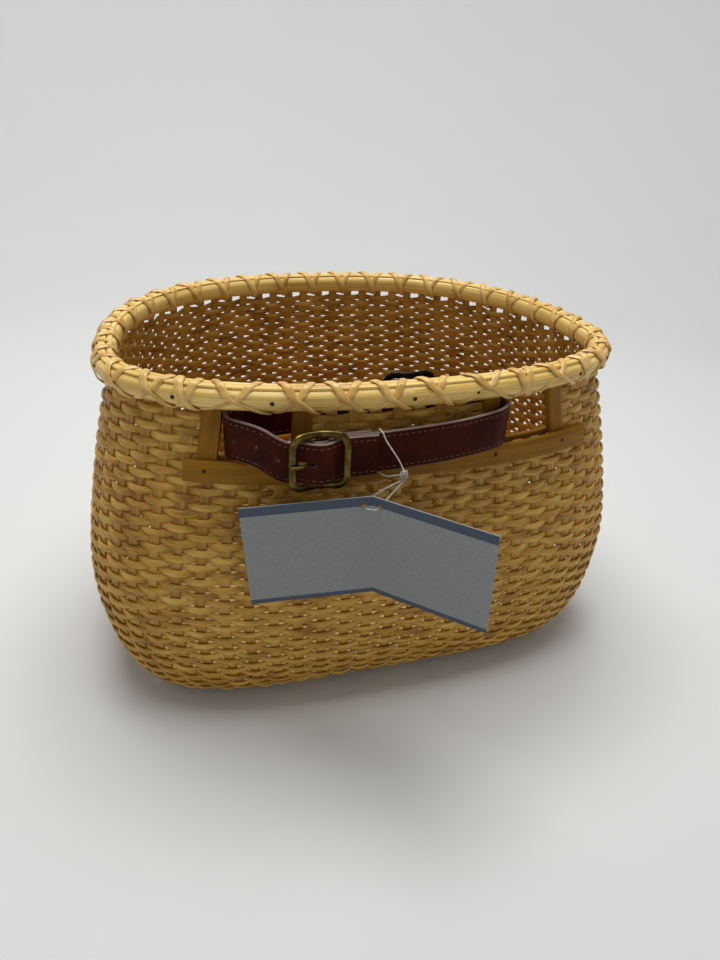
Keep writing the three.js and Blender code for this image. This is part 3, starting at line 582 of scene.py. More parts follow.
def ovalProfile(halfDepth, halfHeight, points, power):
    data = bpy.data.curves.new("caneSection", "CURVE")
    data.dimensions = "2D"
    spline = data.splines.new("POLY")
    spline.points.add(points - 1)
    for i, knot in enumerate(spline.points):
        turn = -2 * math.pi * (i + 0.5) / points  # clockwise, so that the faces point outwards
        out = bulge(math.cos(turn), 2 / power) * halfDepth
        rise = bulge(math.sin(turn), 2 / power) * halfHeight
        knot.co = (out * mm, rise * mm, 0, 1)
    spline.use_cyclic_u = True
    return newObject("caneSection", data)


# runs: (places in mm, tilts, radii, closed)
def sweptMesh(runs, section):
    curve = bpy.data.curves.new("runs", "CURVE")
    curve.dimensions = "3D"
    curve.twist_mode = "Z_UP"
    curve.bevel_mode = "OBJECT"
    curve.bevel_object = section
    curve.use_fill_caps = True
    for places, tilts, radii, closed in runs:
        spline = curve.splines.new("POLY")
        spline.points.add(len(places) - 1)
        rows = np.concatenate([places * mm, np.ones((len(places), 1))], 1)
        spline.points.foreach_set("co", rows.astype(np.float32).ravel())
        spline.points.foreach_set("tilt", np.asarray(tilts, np.float32))
        spline.points.foreach_set("radius", np.asarray(radii, np.float32))
        spline.use_cyclic_u = closed
        spline.use_smooth = True
    return curveMesh(curve)


def climbTable():
    steps = np.linspace(0, 2, 161)
    shares = np.linspace(0, 1, wall["staves"], endpoint=False)
    rings = [levelRing(step, shares) for step in steps]
    rises = [0.0] + [float(np.linalg.norm(b - a, axis=1).mean()) for a, b in zip(rings, rings[1:])]
    return steps, np.cumsum(rises)


def weaveRuns():
    steps, climbed = climbTable()
    rows = int(climbed[-1] / weave["pitch"])
    pitch = climbed[-1] / rows
    staves = wall["staves"]
    count = staves * weave["perStave"]
    runs = []
    for row in range(rows):
        step = float(np.interp((row + weave["firstRow"]) * pitch, climbed, steps))
        height = levelOutline(step)[0]
        spans = [(0.0, 1.0, True)]
        if height > slots["railTop"] - weave["sill"]:
            hold = weave["hold"]
            near, far = openings
            spans = [
                (shareAtX(near[1] - hold), shareAtX(far[0] + hold), False),
                (shareAtX(far[1] - hold), 1 + shareAtX(near[0] + hold), False),
            ]
        phases = [(chance.uniform(0, 6.28), chance.randint(2, 9)) for _ in range(3)]
        strength = weave["sway"] * chance.uniform(*weave["swaySpread"])
        for start, end, closed in spans:
            points = round((end - start) * count)
            shares = np.linspace(start, end, points, endpoint=not closed)
            places, normals = wallPlaces(step, shares)
            wave = np.cos(math.pi * (shares * staves - 0.5)) * (-1) ** row
            sway = np.sign(wave) * np.abs(wave) ** weave["swayPower"] * strength
            if not closed:
                reach = np.minimum(shares - start, end - shares) * staves
                sway = sway * np.minimum(1, weave["endSway"] + reach)
            places = places + normals * sway[:, None]
            drift = sum(np.sin(2 * math.pi * shares * turns + phase) for phase, turns in phases)
            places[:, 2] += drift / 3 * weave["drift"]
            radii = 1 - weave["pinch"] * (1 - np.abs(wave)) ** weave["pinchPower"]
            runs.append((places, -np.arcsin(normals[:, 2]), radii, closed))
    return runs


caneFinish = fibreFinish("wovenCane", weave["look"])
skinNodes = [
    part + "weavers_" + side for part in ("", "upper_", "middle_") for side in ("outside", "inside")]
caneSection = ovalProfile(weave["thickness"] / 2, weave["width"] / 2, 10, 2.4)
allRuns = weaveRuns()
third = math.ceil(len(allRuns) / 3)
for place, label in enumerate(("lower", "middle", "upper")):
    part = allRuns[place * third:(place + 1) * third]
    mesh = sweptMesh(part, caneSection)
    print("weavers", label, len(part), "runs", len(mesh.polygons), "faces")
    addPiece("weavers_" + label, mesh, "basket", [caneFinish], skinNodes, 80)
bpy.data.objects.remove(caneSection)

# staves: flat splints that climb the wall from the base board into the rim
stave = {
    "width": 7.2,
    "thickness": 1.5,
    "roundness": 0.35,
    "widthSpread": (0.95, 1.05),
    "lean": 0.0004,  # most that one is out of its place, as a share of the way round
    "levels": 26,
    "sill": 2,  # how far under the rails' top a stave ends below a slot
    "slotRoom": 0.0015,  # a stave this near to a slot counts as in it, as a share of the way round
    "look": {
        "tones": ((132, 84, 22), (192, 142, 54), (220, 176, 86)),
        "fibre": (25, 900, 1), "streak": (6, 260, 1), "patch": (40, 40, 12),
        "patchShare": 0.5, "gloss": (0.34, 0.5), "relief": 0.5, "coat": 0.1, "sheen": 0.35,
    },
}


def splintSections(share, steps, width):
    edge = stave["roundness"] / 2
    corners = (
        (0.5, -edge), (0.5, edge), (0.4, 0.5), (-0.4, 0.5),
        (-0.5, edge), (-0.5, -edge), (-0.4, -0.5), (0.4, -0.5))
    thickness = stave["thickness"]
    sections = []
    for step in steps:
        middle, along, normal = wallSpot(step, share)
        sections.append([(middle + along * a * width + normal * b * thickness) * mm for a, b in corners])
    return sections


def addStaves():
    form = newForm()
    for index in range(wall["staves"]):
        share = (index + 0.5) / wall["staves"]
        if inSlot(share, stave["slotRoom"]):
            steps = np.linspace(0, stepAt(slots["railTop"] - stave["sill"]), stave["levels"])
        else:
            steps = np.append(np.linspace(0, 2, stave["levels"]), 3)
        lean = chance.uniform(-stave["lean"], stave["lean"])
        width = stave["width"] * chance.uniform(*stave["widthSpread"])
        drawThrough(form, splintSections(share + lean, steps, width))
    finish = fibreFinish("splintWood", stave["look"])
    piece = addPiece("staves", form, "basket", [finish], ("stave_cage",), 60)
    print("staves", len(piece.data.polygons), "faces")


addStaves()

# posts beside the slots, and the rails that clamp the wall under them
rails = {
    "postThickness": 5,
    "postLevels": (192.5, 204, 216, 228, 236.5),
    "postCorner": 0.8,
    "seat": 3.2,
    "face": 6.9,
    "halfLength": 133,
    "corner": 1.1,
    "look": {
        "tones": ((100, 60, 4), (142, 95, 15), (172, 123, 36)),
        "fibre": (14, 1100, 1), "streak": (5, 260, 1), "patch": 20,
        "patchShare": 0.35, "gloss": (0.4, 0.54), "relief": 0.3, "coat": 0.04, "sheen": 0.15,
    },
}
railFinish = fibreFinish("varnishedSlat", rails["look"])


def softBox(halfWidth, halfDepth, radius):
    corners = []
    for sideWays, sideOut in ((1, -1), (1, 1), (-1, 1), (-1, -1)):
        flip = sideWays * sideOut < 0
        for turn in ((0, 45, 90) if not flip else (90, 45, 0)):
            a = sideWays * (halfWidth - radius + radius * math.cos(math.radians(turn)))
            b = sideOut * (halfDepth - radius + radius * math.sin(math.radians(turn)))
            corners.append((a, b))
    return corners


def addPosts():
    for name, (low, high) in posts.items():
        share = shareAtX((low + high) / 2)
        corners = softBox((high - low) / 2, rails["postThickness"] / 2, rails["postCorner"])
        sections = []
        for height in rails["postLevels"]:
            above = (height - wall["weaveTop"]) / (wall["staveTop"] - wall["weaveTop"])
            middle, along, normal = wallSpot(stepAt(height) if above < 0 else 2 + above, share)
            normal.z = 0
            outward = normal.normalized()
            sections.append([(middle + along * a + outward * b) * mm for a, b in corners])
        addDrawn("post_" + name, sections, "basket", railFinish, (name + "_post",), 40)


def addRail(name, side, node):
    middle = (rails["seat"] + rails["face"]) / 2 * side
    height = (slots["railTop"] + slots["railBottom"]) / 2
    half = (slots["railTop"] - slots["railBottom"]) / 2
    corners = softBox(half, (rails["face"] - rails["seat"]) / 2, rails["corner"])
    ends = [shareAtX(way * rails["halfLength"]) for way in (-1, 1)]
    places, normals = wallPlaces(stepAt(height), np.linspace(*ends, 61))
    sections = []
    for place, normal in zip(places, normals):
        outward = Vector((normal[0], normal[1], 0)).normalized()
        sections.append([
            (Vector(place) + outward * (middle + b - a * normal[2]) + Vector((0, 0, a))) * mm
            for a, b in corners])
    addDrawn(name, sections, "basket", railFinish, (node,), 40)


addPosts()
addRail("rail_outside", 1, "outer_rail")
addRail("rail_inside", -1, "inner_rail")
print("posts and rails")

# rim: two half-round hoops, strips over their seam
rim = {
    "bottom": 235.5,
    "top": 249.5,
    "seat": 1.1,
    "outerDepth": 7.5,
    "innerDepth": 4.8,
    "power": 2.5,
    "stations": 216,
    "strips": ((0.5, 5.2, 0.2), (-3.6, 0.1, 0.1)),  # from, to, height over the hoops
    "stripThickness": 1.2,
    "look": {
        "tones": ((172, 122, 40), (240, 200, 108), (253, 230, 154)),
        "fibre": (16, 1500, 1), "streak": (5, 330, 1), "patch": 16,
        "patchShare": 0.3, "gloss": (0.3, 0.48), "relief": 0.35, "coat": 0.2, "sheen": 0.5,
    },
}
rimShares = np.linspace(0, 1, rim["stations"], endpoint=False)
rimPlaces, rimNormals = wallPlaces(rimStep, rimShares)


def rimSections(outline):
    return [
        [Vector((*(place[:2] + normal[:2] * out), height)) * mm for out, height in outline]
        for place, normal in zip(rimPlaces, rimNormals)]


def hoopOutline(side, depth):
    middle = (rim["bottom"] + rim["top"]) / 2
    half = (rim["top"] - rim["bottom"]) / 2
    outline = []
    for degrees in range(-90, 91, 15):
        turn = math.radians(degrees)
        out = rim["seat"] + depth * bulge(math.cos(turn), 2 / rim["power"])
        rise = bulge(math.sin(turn), 2 / rim["power"]) * half
        outline.append((side * out, middle + rise))
    return outline


def addRim():
    finish = fibreFinish("paleHoop", rim["look"])
    for name, side, depth in (("outer", 1, rim["outerDepth"]), ("inner", -1, rim["innerDepth"])):
        sections = rimSections(hoopOutline(side, depth))
        addDrawn("hoop_" + name, sections, "basket", finish, (name + "_rim_hoop",), 60, closed=True)
    form = newForm()
    for low, high, seat in rim["strips"]:
        middle = (low + high) / 2
        edge = rim["top"] + seat
        top = edge + rim["stripThickness"]
        outline = [
            (low, edge), (low + 0.15, top - 0.35), (low + 0.6, top - 0.05), (middle, top + 0.12),
            (high - 0.6, top - 0.1), (high - 0.1, top - 0.5), (high, edge - 0.4), (middle, edge - 0.4)]
        drawThrough(form, rimSections(outline), closed=True)
    addPiece("rim_strips", form, "basket", [finish], ("rim_cap_strip",), 60)


addRim()
print("rim hoops")

# lashing: two canes wound round the rim in opposite directions
lashing = {
    "loops": 36,
    "width": 5.6,
    "thickness": 1.0,
    "lift": 0.55,
    "bed": 0.4,  # share of the thickness that lies below the lifted line
    "crossLift": 0.9,
    "riseAt": 0.27,  # how near to a crossing the rise starts, and over how much of the way
    "riseOver": 0.15,
    "section": (  # halves of the width, shares of the thickness
        (-1, 0), (-0.72, 0.62), (-0.3, 1), (0, 0.8), (0.3, 1), (0.72, 0.62), (1, 0),
        (0.6, -0.12), (-0.6, -0.12)),
    "crossAt": (0.25, 0.37),  # where the two canes cross, as a share of a turn
    "start": 0.07,  # share of a turn before the cane moves sideways
    "legGap": 5,  # between the feet of neighbouring crosses
    "crown": (  # over the strips
        (5.6, 0.1), (4.4, 1.4), (2.2, 1.7), (-0.2, 1.75), (-2.3, 1.5), (-3.9, 0.3)),
    "feet": ((2.6, -0.6), (-1.4, -0.8)),  # below the hoops
    "look": {
        "tones": ((164, 113, 42), (220, 174, 90), (242, 206, 130)),
        "fibre": (40, 1100, 1), "streak": (12, 280, 1), "patch": 60,
        "patchShare": 0.45, "gloss": (0.28, 0.46), "relief": 0.45, "coat": 0.3, "sheen": 0.5,
    },
}


def turnShare(turn):
    gap = 1 / wall["staves"]
    share = turn / lashing["loops"]
    near = (share + 0.5) % 1 - 0.5
    room = lashing["width"] / 2 / rimLength
    for low, high in posts.values():
        if shareAtX(low) - room < near < shareAtX(high) + room:
            return share + math.copysign(gap, near)
    return share


crossings = [chance.uniform(*lashing["crossAt"]) for _ in range(lashing["loops"])]


def lashingOutline():
    outside = hoopOutline(1, rim["outerDepth"])[1:10]
    inside = hoopOutline(-1, rim["innerDepth"])[9:0:-1]
    crown = [(out, rim["top"] + rise) for out, rise in lashing["crown"]]
    feet = [(out, rim["bottom"] + rise) for out, rise in lashing["feet"]]
    return [(out, height, 0) for out, height in feet[:1] + outside + crown + inside + feet[1:]]


# share of its sideways way that a turn has gone; it starts once it has left the underside
def turnGone(share, cross):
    start = lashing["start"]
    if share < cross:
        return 0.5 * max(0, share - start) / (cross - start)
    return 0.5 + 0.5 * min(1, (share - cross) / (1 - start - cross))


# the upper cane rises only where it crosses the other
def crossRise(gone):
    near = min(abs(gone - 0.5), gone, 1 - gone)
    return min(1, max(0, (lashing["riseAt"] - near) / lashing["riseOver"]))


def lashingSections(hand, crossLift):
    outline = smoothRoute(lashingOutline(), 2)
    lengths = walkedLengths(outline)
    facing = [Vector((way.y, -way.x, 0)) for way in tangents(outline)]
    half = lashing["width"] / 2 / rimLength
    section = lashing["section"]
    sections = []
    shift = hand * lashing["legGap"] / 2 / rimLength
    for loop in range(lashing["loops"]):
        start, end = turnShare(hand * loop) + shift, turnShare(hand * (loop + 1)) + shift
        cross = crossings[loop if hand > 0 else -loop - 1]
        for place, length, face in zip(outline, lengths, facing):
            gone = turnGone(length / lengths[-1], cross)
            lift = lashing["lift"] + crossLift * crossRise(gone)
            middle = start + (end - start) * gone
            points, normals = wallPlaces(rimStep, [middle + across * half for across, _ in section])
            row = []
            for point, normal, (_, rise) in zip(points, normals, section):
                spot = place + face * (lift + lashing["thickness"] * (rise - lashing["bed"]))
                row.append(Vector((*(point[:2] + normal[:2] * spot.x), spot.y)) * mm)
            sections.append(row)
    return sections


lashingFinish = fibreFinish("lashingCane", lashing["look"])
for name, hand, crossLift in (("first", 1, 0), ("second", -1, lashing["crossLift"])):
    sections = lashingSections(hand, crossLift)
    addDrawn("lashing_" + name, sections, "basket", lashingFinish, ("rim_lashing_" + name,), 70)
print("lashing")

# nails with dark domed heads, in the rim and in the rails
nails = {
    "headRadius": 1.4,
    "headHeight": 0.8,
    "spaces": 24,  # round the rim; every third one is left out
    "moved": 21,  # this one stands one stave aside
    "rimHeight": 242.5,
    "rimFace": 8.55,
    "railHeight": 198.5,
    "railFace": 6.85,
    "tones": ((34, 26, 18), (82, 64, 42)),
}


def nailFinish():
    material, tree, shader = newFinish("darkNail", Metallic=0.7)
    tone = addNoise(tree, "Object", 1400)
    dress(tree, shader, tone, (0.35, 0.7), nails["tones"], tone, (0.35, 0.6), (0.3, 0.0002))
    return material


def nailHead(form, place, outward):
    turn = outward.to_track_quat("Z", "Y").to_matrix().to_4x4()
    sink = Matrix.Translation(place) @ turn
    radius = nails["headRadius"] * mm
    size = Matrix.Diagonal((radius, radius, nails["headHeight"] * mm, 1))
    bmesh.ops.create_uvsphere(form, u_segments=14, v_segments=8, radius=1, matrix=sink @ size)


def addNails():
    finish = nailFinish()
    turns = [turn for turn in range(nails["spaces"]) if turn % 3 != 2]
    form = bmesh.new()
    for turn in turns:
        share = turn / nails["spaces"] - (1 / wall["staves"] if turn == nails["moved"] else 0)
        middle, _, outward = wallSpot(rimStep, share)
        place = middle + outward * nails["rimFace"]
        place.z = nails["rimHeight"]
        nailHead(form, place * mm, outward)
    names = ["rim_nail_%02d" % (i + 1) for i in range(len(turns))]
    addPiece("rim_nail_heads", form, "basket", [finish], names, 60)
    form = bmesh.new()
    for low, high in posts.values():
        middle, _, outward = wallSpot(stepAt(nails["railHeight"]), shareAtX((low + high) / 2))
        outward.z = 0
        outward.normalize()
        nailHead(form, (middle + outward * nails["railFace"]) * mm, outward)
    names = [name + "_rail_nail" for name in posts]
    addPiece("rail_nail_heads", form, "basket", [finish], names, 60)


addNails()
print("nails")

# leather straps: each turns round one buckle's centre bar and ends as the billet of the other
strap = {
    "width": 27,
    "thickness": 2.6,
    "height": 219.1,
    "rightBend": 69.0,
    "leftBend": -112.6,
    "frontBar": Vector((-63, -113.21, 213.1)),
    "innerBar": Vector((14.5, -57.38, 223.1)),
    "stitchIn": 3,
    "stitchPitch": 3.9,
    "stitchHalf": (1.35, 0.32, 0.3),  # half its length, width and height
    "stitchLean": 0.08,
    "stitchLift": 0.02,
    "stitchEnds": (4, 3),  # room left at the start and at the end
    "holes": (64, 79.5, 94.5, 107),  # in the front billet, from its tip
    "holeRadius": 1.6,
    "holeDepth": 8,
    "foldSlot": (-5.7, 4.2, 1.7),  # prong slot in the fold: from, to, half height
    "billetSlot": (-12.5, -2.2, 1.5),  # the one in the billet
    "slotDepth": 52,
    "tones": ((40, 10, 3), (60, 18, 5), (80, 28, 9)),
    "edgeTones": ((88, 72, 68), (112, 95, 90), (140, 122, 114)),
    "stitchTones": ((92, 54, 36), (136, 94, 70)),
}
frontBuckle = Matrix.Translation(strap["frontBar"])
innerBuckle = Matrix.Translation(strap["innerBar"]) @ Matrix.Rotation(math.pi, 4, "Z")
foldPlaces = (
    (34, -6.1), (22, -6.2), (12, -5.6), (5, -3.9), (0.6, -3.1), (-2.19, -2.19), (-3.1, 0), (-2.19, 2.19),
    (0.4, 3.1), (4, 2.2), (9, -1.05), (14, -2.95), (22, -3.15), (34, -3.05))
billetPlaces = (
    (-18, 0), (-15.5, 0.1), (-10, 1.6), (-5, 4.6), (0, 6.3), (4.5, 5.8), (9.5, 3), (15, 0.25), (22, 0),
    (37, 0))
rightX, leftX = strap["rightBend"], strap["leftBend"]
rightBend = (
    (0, 16.2, -4.2), (28, 15, -2.8), (48, 13.8, -1), (rightX - 9.8, 11.6, -0.2), (rightX - 1.8, 5.4, 0),
    (rightX, -3, 0), (rightX - 1.2, -11, 0), (rightX - 5, -18, 0), (rightX - 11, -26, 0.4),
    (rightX - 19, -32.2, 1.5), (rightX - 28, -36.3, 3))
leftBend = (
    (-52, -32.2, 3), (-72, -27.8, 1.5), (leftX + 16.5, -22.8, 0.4), (leftX + 6.7, -15.4, 0),
    (leftX + 1.2, -6.4, 0), (leftX, 0.5, 0), (leftX + 2.2, 6, 0), (leftX + 8.5, 10.5, 0),
    (leftX + 17, 16.2, -0.8), (leftX + 25, 21.8, -4.2))


def leatherFinish(name, tones, gloss):
    material, tree, shader = newFinish(name, Specular_IOR_Level=0.06)
    cells = addNode(tree, "ShaderNodeTexVoronoi", {"Vector": addPlace(tree, "Object", 1000)}, Scale=1.1)
    slow = addNoise(tree, "Object", 60, 4)
    fine = addNoise(tree, "Object", 700)
    tone = addMix(tree, slow, fine, 0.35)
    dress(tree, shader, tone, (0.32, 0.5, 0.7), tones, slow, gloss)
    addBump(tree, shader, addMix(tree, cells.outputs["Distance"], fine, 0.5), 0.22, 0.0003)
    return material


def strapFrames(route):
    frames = []
    for place, forward in zip(route, tangents(route)):
        across = (Vector((0, 0, 1)) - forward * forward.z).normalized()
        frames.append((place, forward, across, forward.cross(across)))
    return frames


def frontY(x):
    return float(levelRing(stepAt(strap["height"]), [shareAtX(x)])[0, 1])


def strapRoute(fold, bend, billet):
    points = [fold @ Vector((along, -out, 0)) for along, out in foldPlaces]
    points += [Vector((x, frontY(x) - out, strap["height"] + rise)) for x, out, rise in bend]
    points += [billet @ Vector((along, -out, 0)) for along, out in billetPlaces]
    return smoothRoute(points, 7)


def slotCutter(place, near, far, half):
    form = bmesh.new()
    size = Matrix.Diagonal(((far - near) * mm, strap["slotDepth"] * mm, 2 * half * mm, 1))
    middle = Matrix.Translation(Vector(((near + far) / 2, 0, 0)) * mm)
    bmesh.ops.create_cube(form, size=1, matrix=scaled(place) @ middle @ size)
    return cutterMesh(form, 1)


def addStrap(name, node, fold, bend, billet, holes):
    half, deep = strap["width"] / 2, strap["thickness"] / 2
    outline = []
    for side in (1, -1):
        outline += [(side * a, side * b) for a, b in (
            (-half + 1.6, deep), (0, deep + 0.06), (half - 1.6, deep), (half - 0.6, deep - 0.12),
            (half - 0.12, deep - 0.55), (half, 0), (half - 0.12, -deep + 0.55), (half - 0.6, -deep + 0.12))]
    frames = strapFrames(strapRoute(fold, bend, billet))
    form = newForm()
    drawThrough(
        form,
        [[(place + across * a + face * b) * mm for a, b in outline] for place, _, across, face in frames],
        edges=(3, 4, 5, 6, 11, 12, 13, 14))
    cutters = [slotCutter(fold, *strap["foldSlot"]), slotCutter(billet, *strap["billetSlot"])]
    for place, face in holePlaces(frames, holes):
        turn = face.to_track_quat("Z", "Y").to_matrix().to_4x4()
        spot = Matrix.Translation(place * mm) @ turn
        cutters.append(roundCutter(spot, strap["holeRadius"], strap["holeDepth"], 1))
    mesh = carve(meshFrom(form), cutters, [leather, leatherEdge])
    addPiece(name, mesh, "strap_loop", [leather, leatherEdge], (node,), 40)
    addStitches(name + "_stitches", frames)


# spots at given distances from the billet's tip
def holePlaces(frames, holes):
    spots = []
    walked = 0.0
    for (far, *_), (near, _, _, face) in zip(frames[::-1], frames[-2::-1]):
        step = (far - near).length
        for hole in holes:
            if walked <= hole < walked + step:
                spots.append((far.lerp(near, (hole - walked) / step), face))
        walked += step
    return spots


def addStitches(name, frames):
    form = bmesh.new()
    first, last = strap["stitchEnds"]
    walked, due = 0.0, first
    total = walkedLengths([place for place, *_ in frames])[-1]
    row = strap["width"] / 2 - strap["stitchIn"]
    out = strap["thickness"] / 2 + strap["stitchLift"]
    size = Matrix.Diagonal([half * mm for half in strap["stitchHalf"]] + [1])
    for (near, forward, across, face), (far, *_) in zip(frames, frames[1:]):
        step = (far - near).length
        while due < walked + step and due < total - last:
            place = near.lerp(far, (due - walked) / step)
            for side in (1, -1):
                turn = Matrix((forward, across, face)).transposed().to_4x4()
                turn @= Matrix.Rotation(strap["stitchLean"] * side, 4, "Z")
                for front in (1, -1):
                    middle = Matrix.Translation((place + across * row * side + face * out * front) * mm)
                    bmesh.ops.create_icosphere(form, subdivisions=1, radius=1, matrix=middle @ turn @ size)
            due += strap["stitchPitch"]
        walked += step
    addPiece(name, form, "strap_loop", [stitchThread], (), 80)


def threadFinish(name, tones):
    material, tree, shader = newFinish(name, Roughness=0.7)
    dress(tree, shader, addNoise(tree, "Object", 1600, 2), (0.35, 0.65), tones)
    return material


leather = leatherFinish("brownLeather", strap["tones"], (0.38, 0.54))
leatherEdge = leatherFinish("cutLeather", strap["edgeTones"], (0.6, 0.8))
stitchThread = threadFinish("stitchThread", strap["stitchTones"])
addStrap("strap_front", "front_buckle_strap", frontBuckle, rightBend, innerBuckle, ())
addStrap("strap_inner", "inner_buckle_strap", innerBuckle, leftBend, frontBuckle, strap["holes"])
print("straps")

# buckles: rounded frame with a centre bar and a prong
buckle = {
    "reach": 16.5,
    "halfHeight": 16.9,
    "corner": 6.5,
    "barWidth": 4.6,
    "barThickness": 3.4,
    "dip": 4.8,
    "bow": 1.5,
    "centreBar": 1.5,
    "barLevels": (-16.5, -8, 0, 8, 16.5),
    "squareness": 0.75,  # of the frame's section; 1 is round
    "eyeRadius": 2.4,
    "prongRadius": 1.05,
    "prongTip": (0.95, 0.8, 0.45),
    "knee": (-13.3, 7.7),
    "tip": (-18.7, 7.6),
    "brass": ((45, 36, 13), (92, 76, 34), (138, 117, 62)),
    # the inner buckle's tones: the same aged brass darkened to near black, as painted shade for its place
    # in the basket's shadow
    "brassInShade": ((14, 13, 12), (26, 24, 22), (44, 41, 37)),
}


def metalFinish(name, tones, gloss, metallic):
    material, tree, shader = newFinish(name, Metallic=metallic)
    fine = addNoise(tree, "Object", 1500)
    tone = addMix(tree, addNoise(tree, "Object", 160, 4), fine, 0.3)
    dress(tree, shader, tone, (0.34, 0.5, 0.68), tones, fine, gloss, (0.12, 0.0002))
    return material


def framePath():
    reach, half, corner = buckle["reach"], buckle["halfHeight"], buckle["corner"]
    path = []
    for index, (u, z) in enumerate(((1, 1), (-1, 1), (-1, -1), (1, -1))):
        for i in range(7):
            turn = (index + i / 6) * math.pi / 2
            outward = Vector((math.cos(turn), math.sin(turn)))
            path.append((Vector((u * (reach - corner), z * (half - corner))) + outward * corner, outward))
        if index % 2 == 0:
            for i in range(1, 10):
                path.append((Vector((-u * (reach - corner) * (i / 5 - 1), z * half)), Vector((0, z))))
        else:
            for i in range(1, 6):
                path.append((Vector((u * reach, -z * (half - corner) * (i / 3 - 1))), Vector((u, 0))))
    return path


def buckleFrame(form, place):
    power = buckle["squareness"]
    sections = []
    for spot, outward in framePath():
        dip = buckle["dip"] * (abs(spot.x) / buckle["reach"]) ** buckle["bow"]
        section = []
        for wide, deep in circle(12):
            corner = spot + outward * (bulge(wide, power) * buckle["barWidth"] / 2)
            depth = dip + bulge(deep, power) * buckle["barThickness"] / 2
            section.append((place @ Vector((corner.x, -depth, corner.y))) * mm)
        sections.append(section)
    drawThrough(form, sections, closed=True)
    radius = buckle["centreBar"]
    drawThrough(form, [
        [(place @ Vector((radius * x, radius * y, z))) * mm for x, y in circle(16)]
        for z in buckle["barLevels"]])


def buckleProng(form, place):
    outline = (
        (-0.6, -0.9), (-0.6, 0.9), (-0.3, 1.2), (0.3, 1.2),
        (0.6, 0.9), (0.6, -0.9), (0.3, -1.2), (-0.3, -1.2))
    eye = buckle["eyeRadius"]
    drawThrough(form, [
        [(place @ Vector((x * (eye + a), y * (eye + a), b))) * mm for a, b in outline]
        for x, y in circle(24)], closed=True)
    knee, tip = buckle["knee"], buckle["tip"]
    root = Vector(knee).normalized() * eye
    line = smoothRoute([
        (root.x, -root.y, 0), (root.x * 2.4, -root.y * 2.4, 0), (knee[0] * 0.75, -knee[1] * 0.8, 0),
        (knee[0] - 0.6, -knee[1] - 0.05, 0), (tip[0] + 1.4, -tip[1], 0), (tip[0], -tip[1] + 0.25, 0)], 5)
    radii = [buckle["prongRadius"]] * (len(line) - 3) + list(buckle["prongTip"])
    sections = []
    for spot, forward, radius in zip(line, tangents(line), radii):
        side = Vector((-forward.y, forward.x, 0))
        sections.append([
            (place @ (spot + side * radius * x + Vector((0, 0, radius * y)))) * mm for x, y in circle(10)])
    drawThrough(form, sections)


brass = metalFinish("agedBrass", buckle["brass"], (0.26, 0.42), 1)
# near-black copy of the brass for the inner buckle: painted shade, as it sits in shadow inside the basket
shadedBrass = metalFinish("shadedBrass", buckle["brassInShade"], (0.22, 0.38), 0.9)
for name, place, finish in (("front", frontBuckle, brass), ("inner", innerBuckle, shadedBrass)):
    for draw, piece, body, node in (
            (buckleFrame, "_frame", "_buckle", "_buckle_frame"),
            (buckleProng, "_tongue", "_prong", "_buckle_prong")):
        form = newForm()
        draw(form, place)
        addPiece(name + piece, form, name + body, [finish], (name + node,), 50)
print("buckles")

# hang tag: two card leaves with plain coloured bands, and ringed holes
tag = {
    "width": 79.4,
    "height": 79.5,
    "thickness": 0.7,
    "gap": 0.06,
    "corner": 0.9,
    "holeRadius": 1.2,
    "holeDepth": 4,
    "ringLift": 0.05,
    "ringRadius": 1.55,
    "ringHalf": (0.42, 0.22),  # half the ring's width and its height
    "beadOutline": (  # height, radius
        (3.6, 0.7), (3.3, 1.5), (2.2, 2.3), (0.6, 2.6),
        (-0.9, 2.5), (-2.3, 2.1), (-3.3, 1.4), (-3.6, 0.8)),
    "topBand": 6.8,
    "bottomBand": 3.6,
    "card": (shade(130, 134, 134), shade(142, 146, 146)),
    "band": (shade(50, 64, 84), shade(60, 76, 98)),
    "ring": ((132, 84, 36), (196, 140, 76)),
}


def cardFinish():
    material, tree, shader = newFinish("tagCard", Roughness=0.5)
    place = addNode(tree, "ShaderNodeTexCoord")
    split = addNode(tree, "ShaderNodeSeparateXYZ", {"Vector": place.outputs["UV"]})
    fibre = addNoise(tree, "Object", 420, 4)
    plain, band = (addRamp(tree, fibre, (0.3, 0.7), tag[part]) for part in ("card", "band"))
    top = addMath(tree, "GREATER_THAN", split.outputs["Y"], -tag["topBand"] * mm)
    low = addMath(tree, "LESS_THAN", split.outputs["Y"], -(tag["height"] - tag["bottomBand"]) * mm)
    front = addMath(tree, "GREATER_THAN", split.outputs["X"], 0)
    shown = addMath(tree, "MULTIPLY", addMath(tree, "MAXIMUM", top, low), front)
    tree.links.new(addMix(tree, plain, band, shown), shader.inputs["Base Color"])
    tree.links.new(addRange(tree, fibre, 0.3, 0.7, 0.42, 0.58), shader.inputs["Roughness"])
    addBump(tree, shader, fibre, 0.08, 0.0002)
    return material


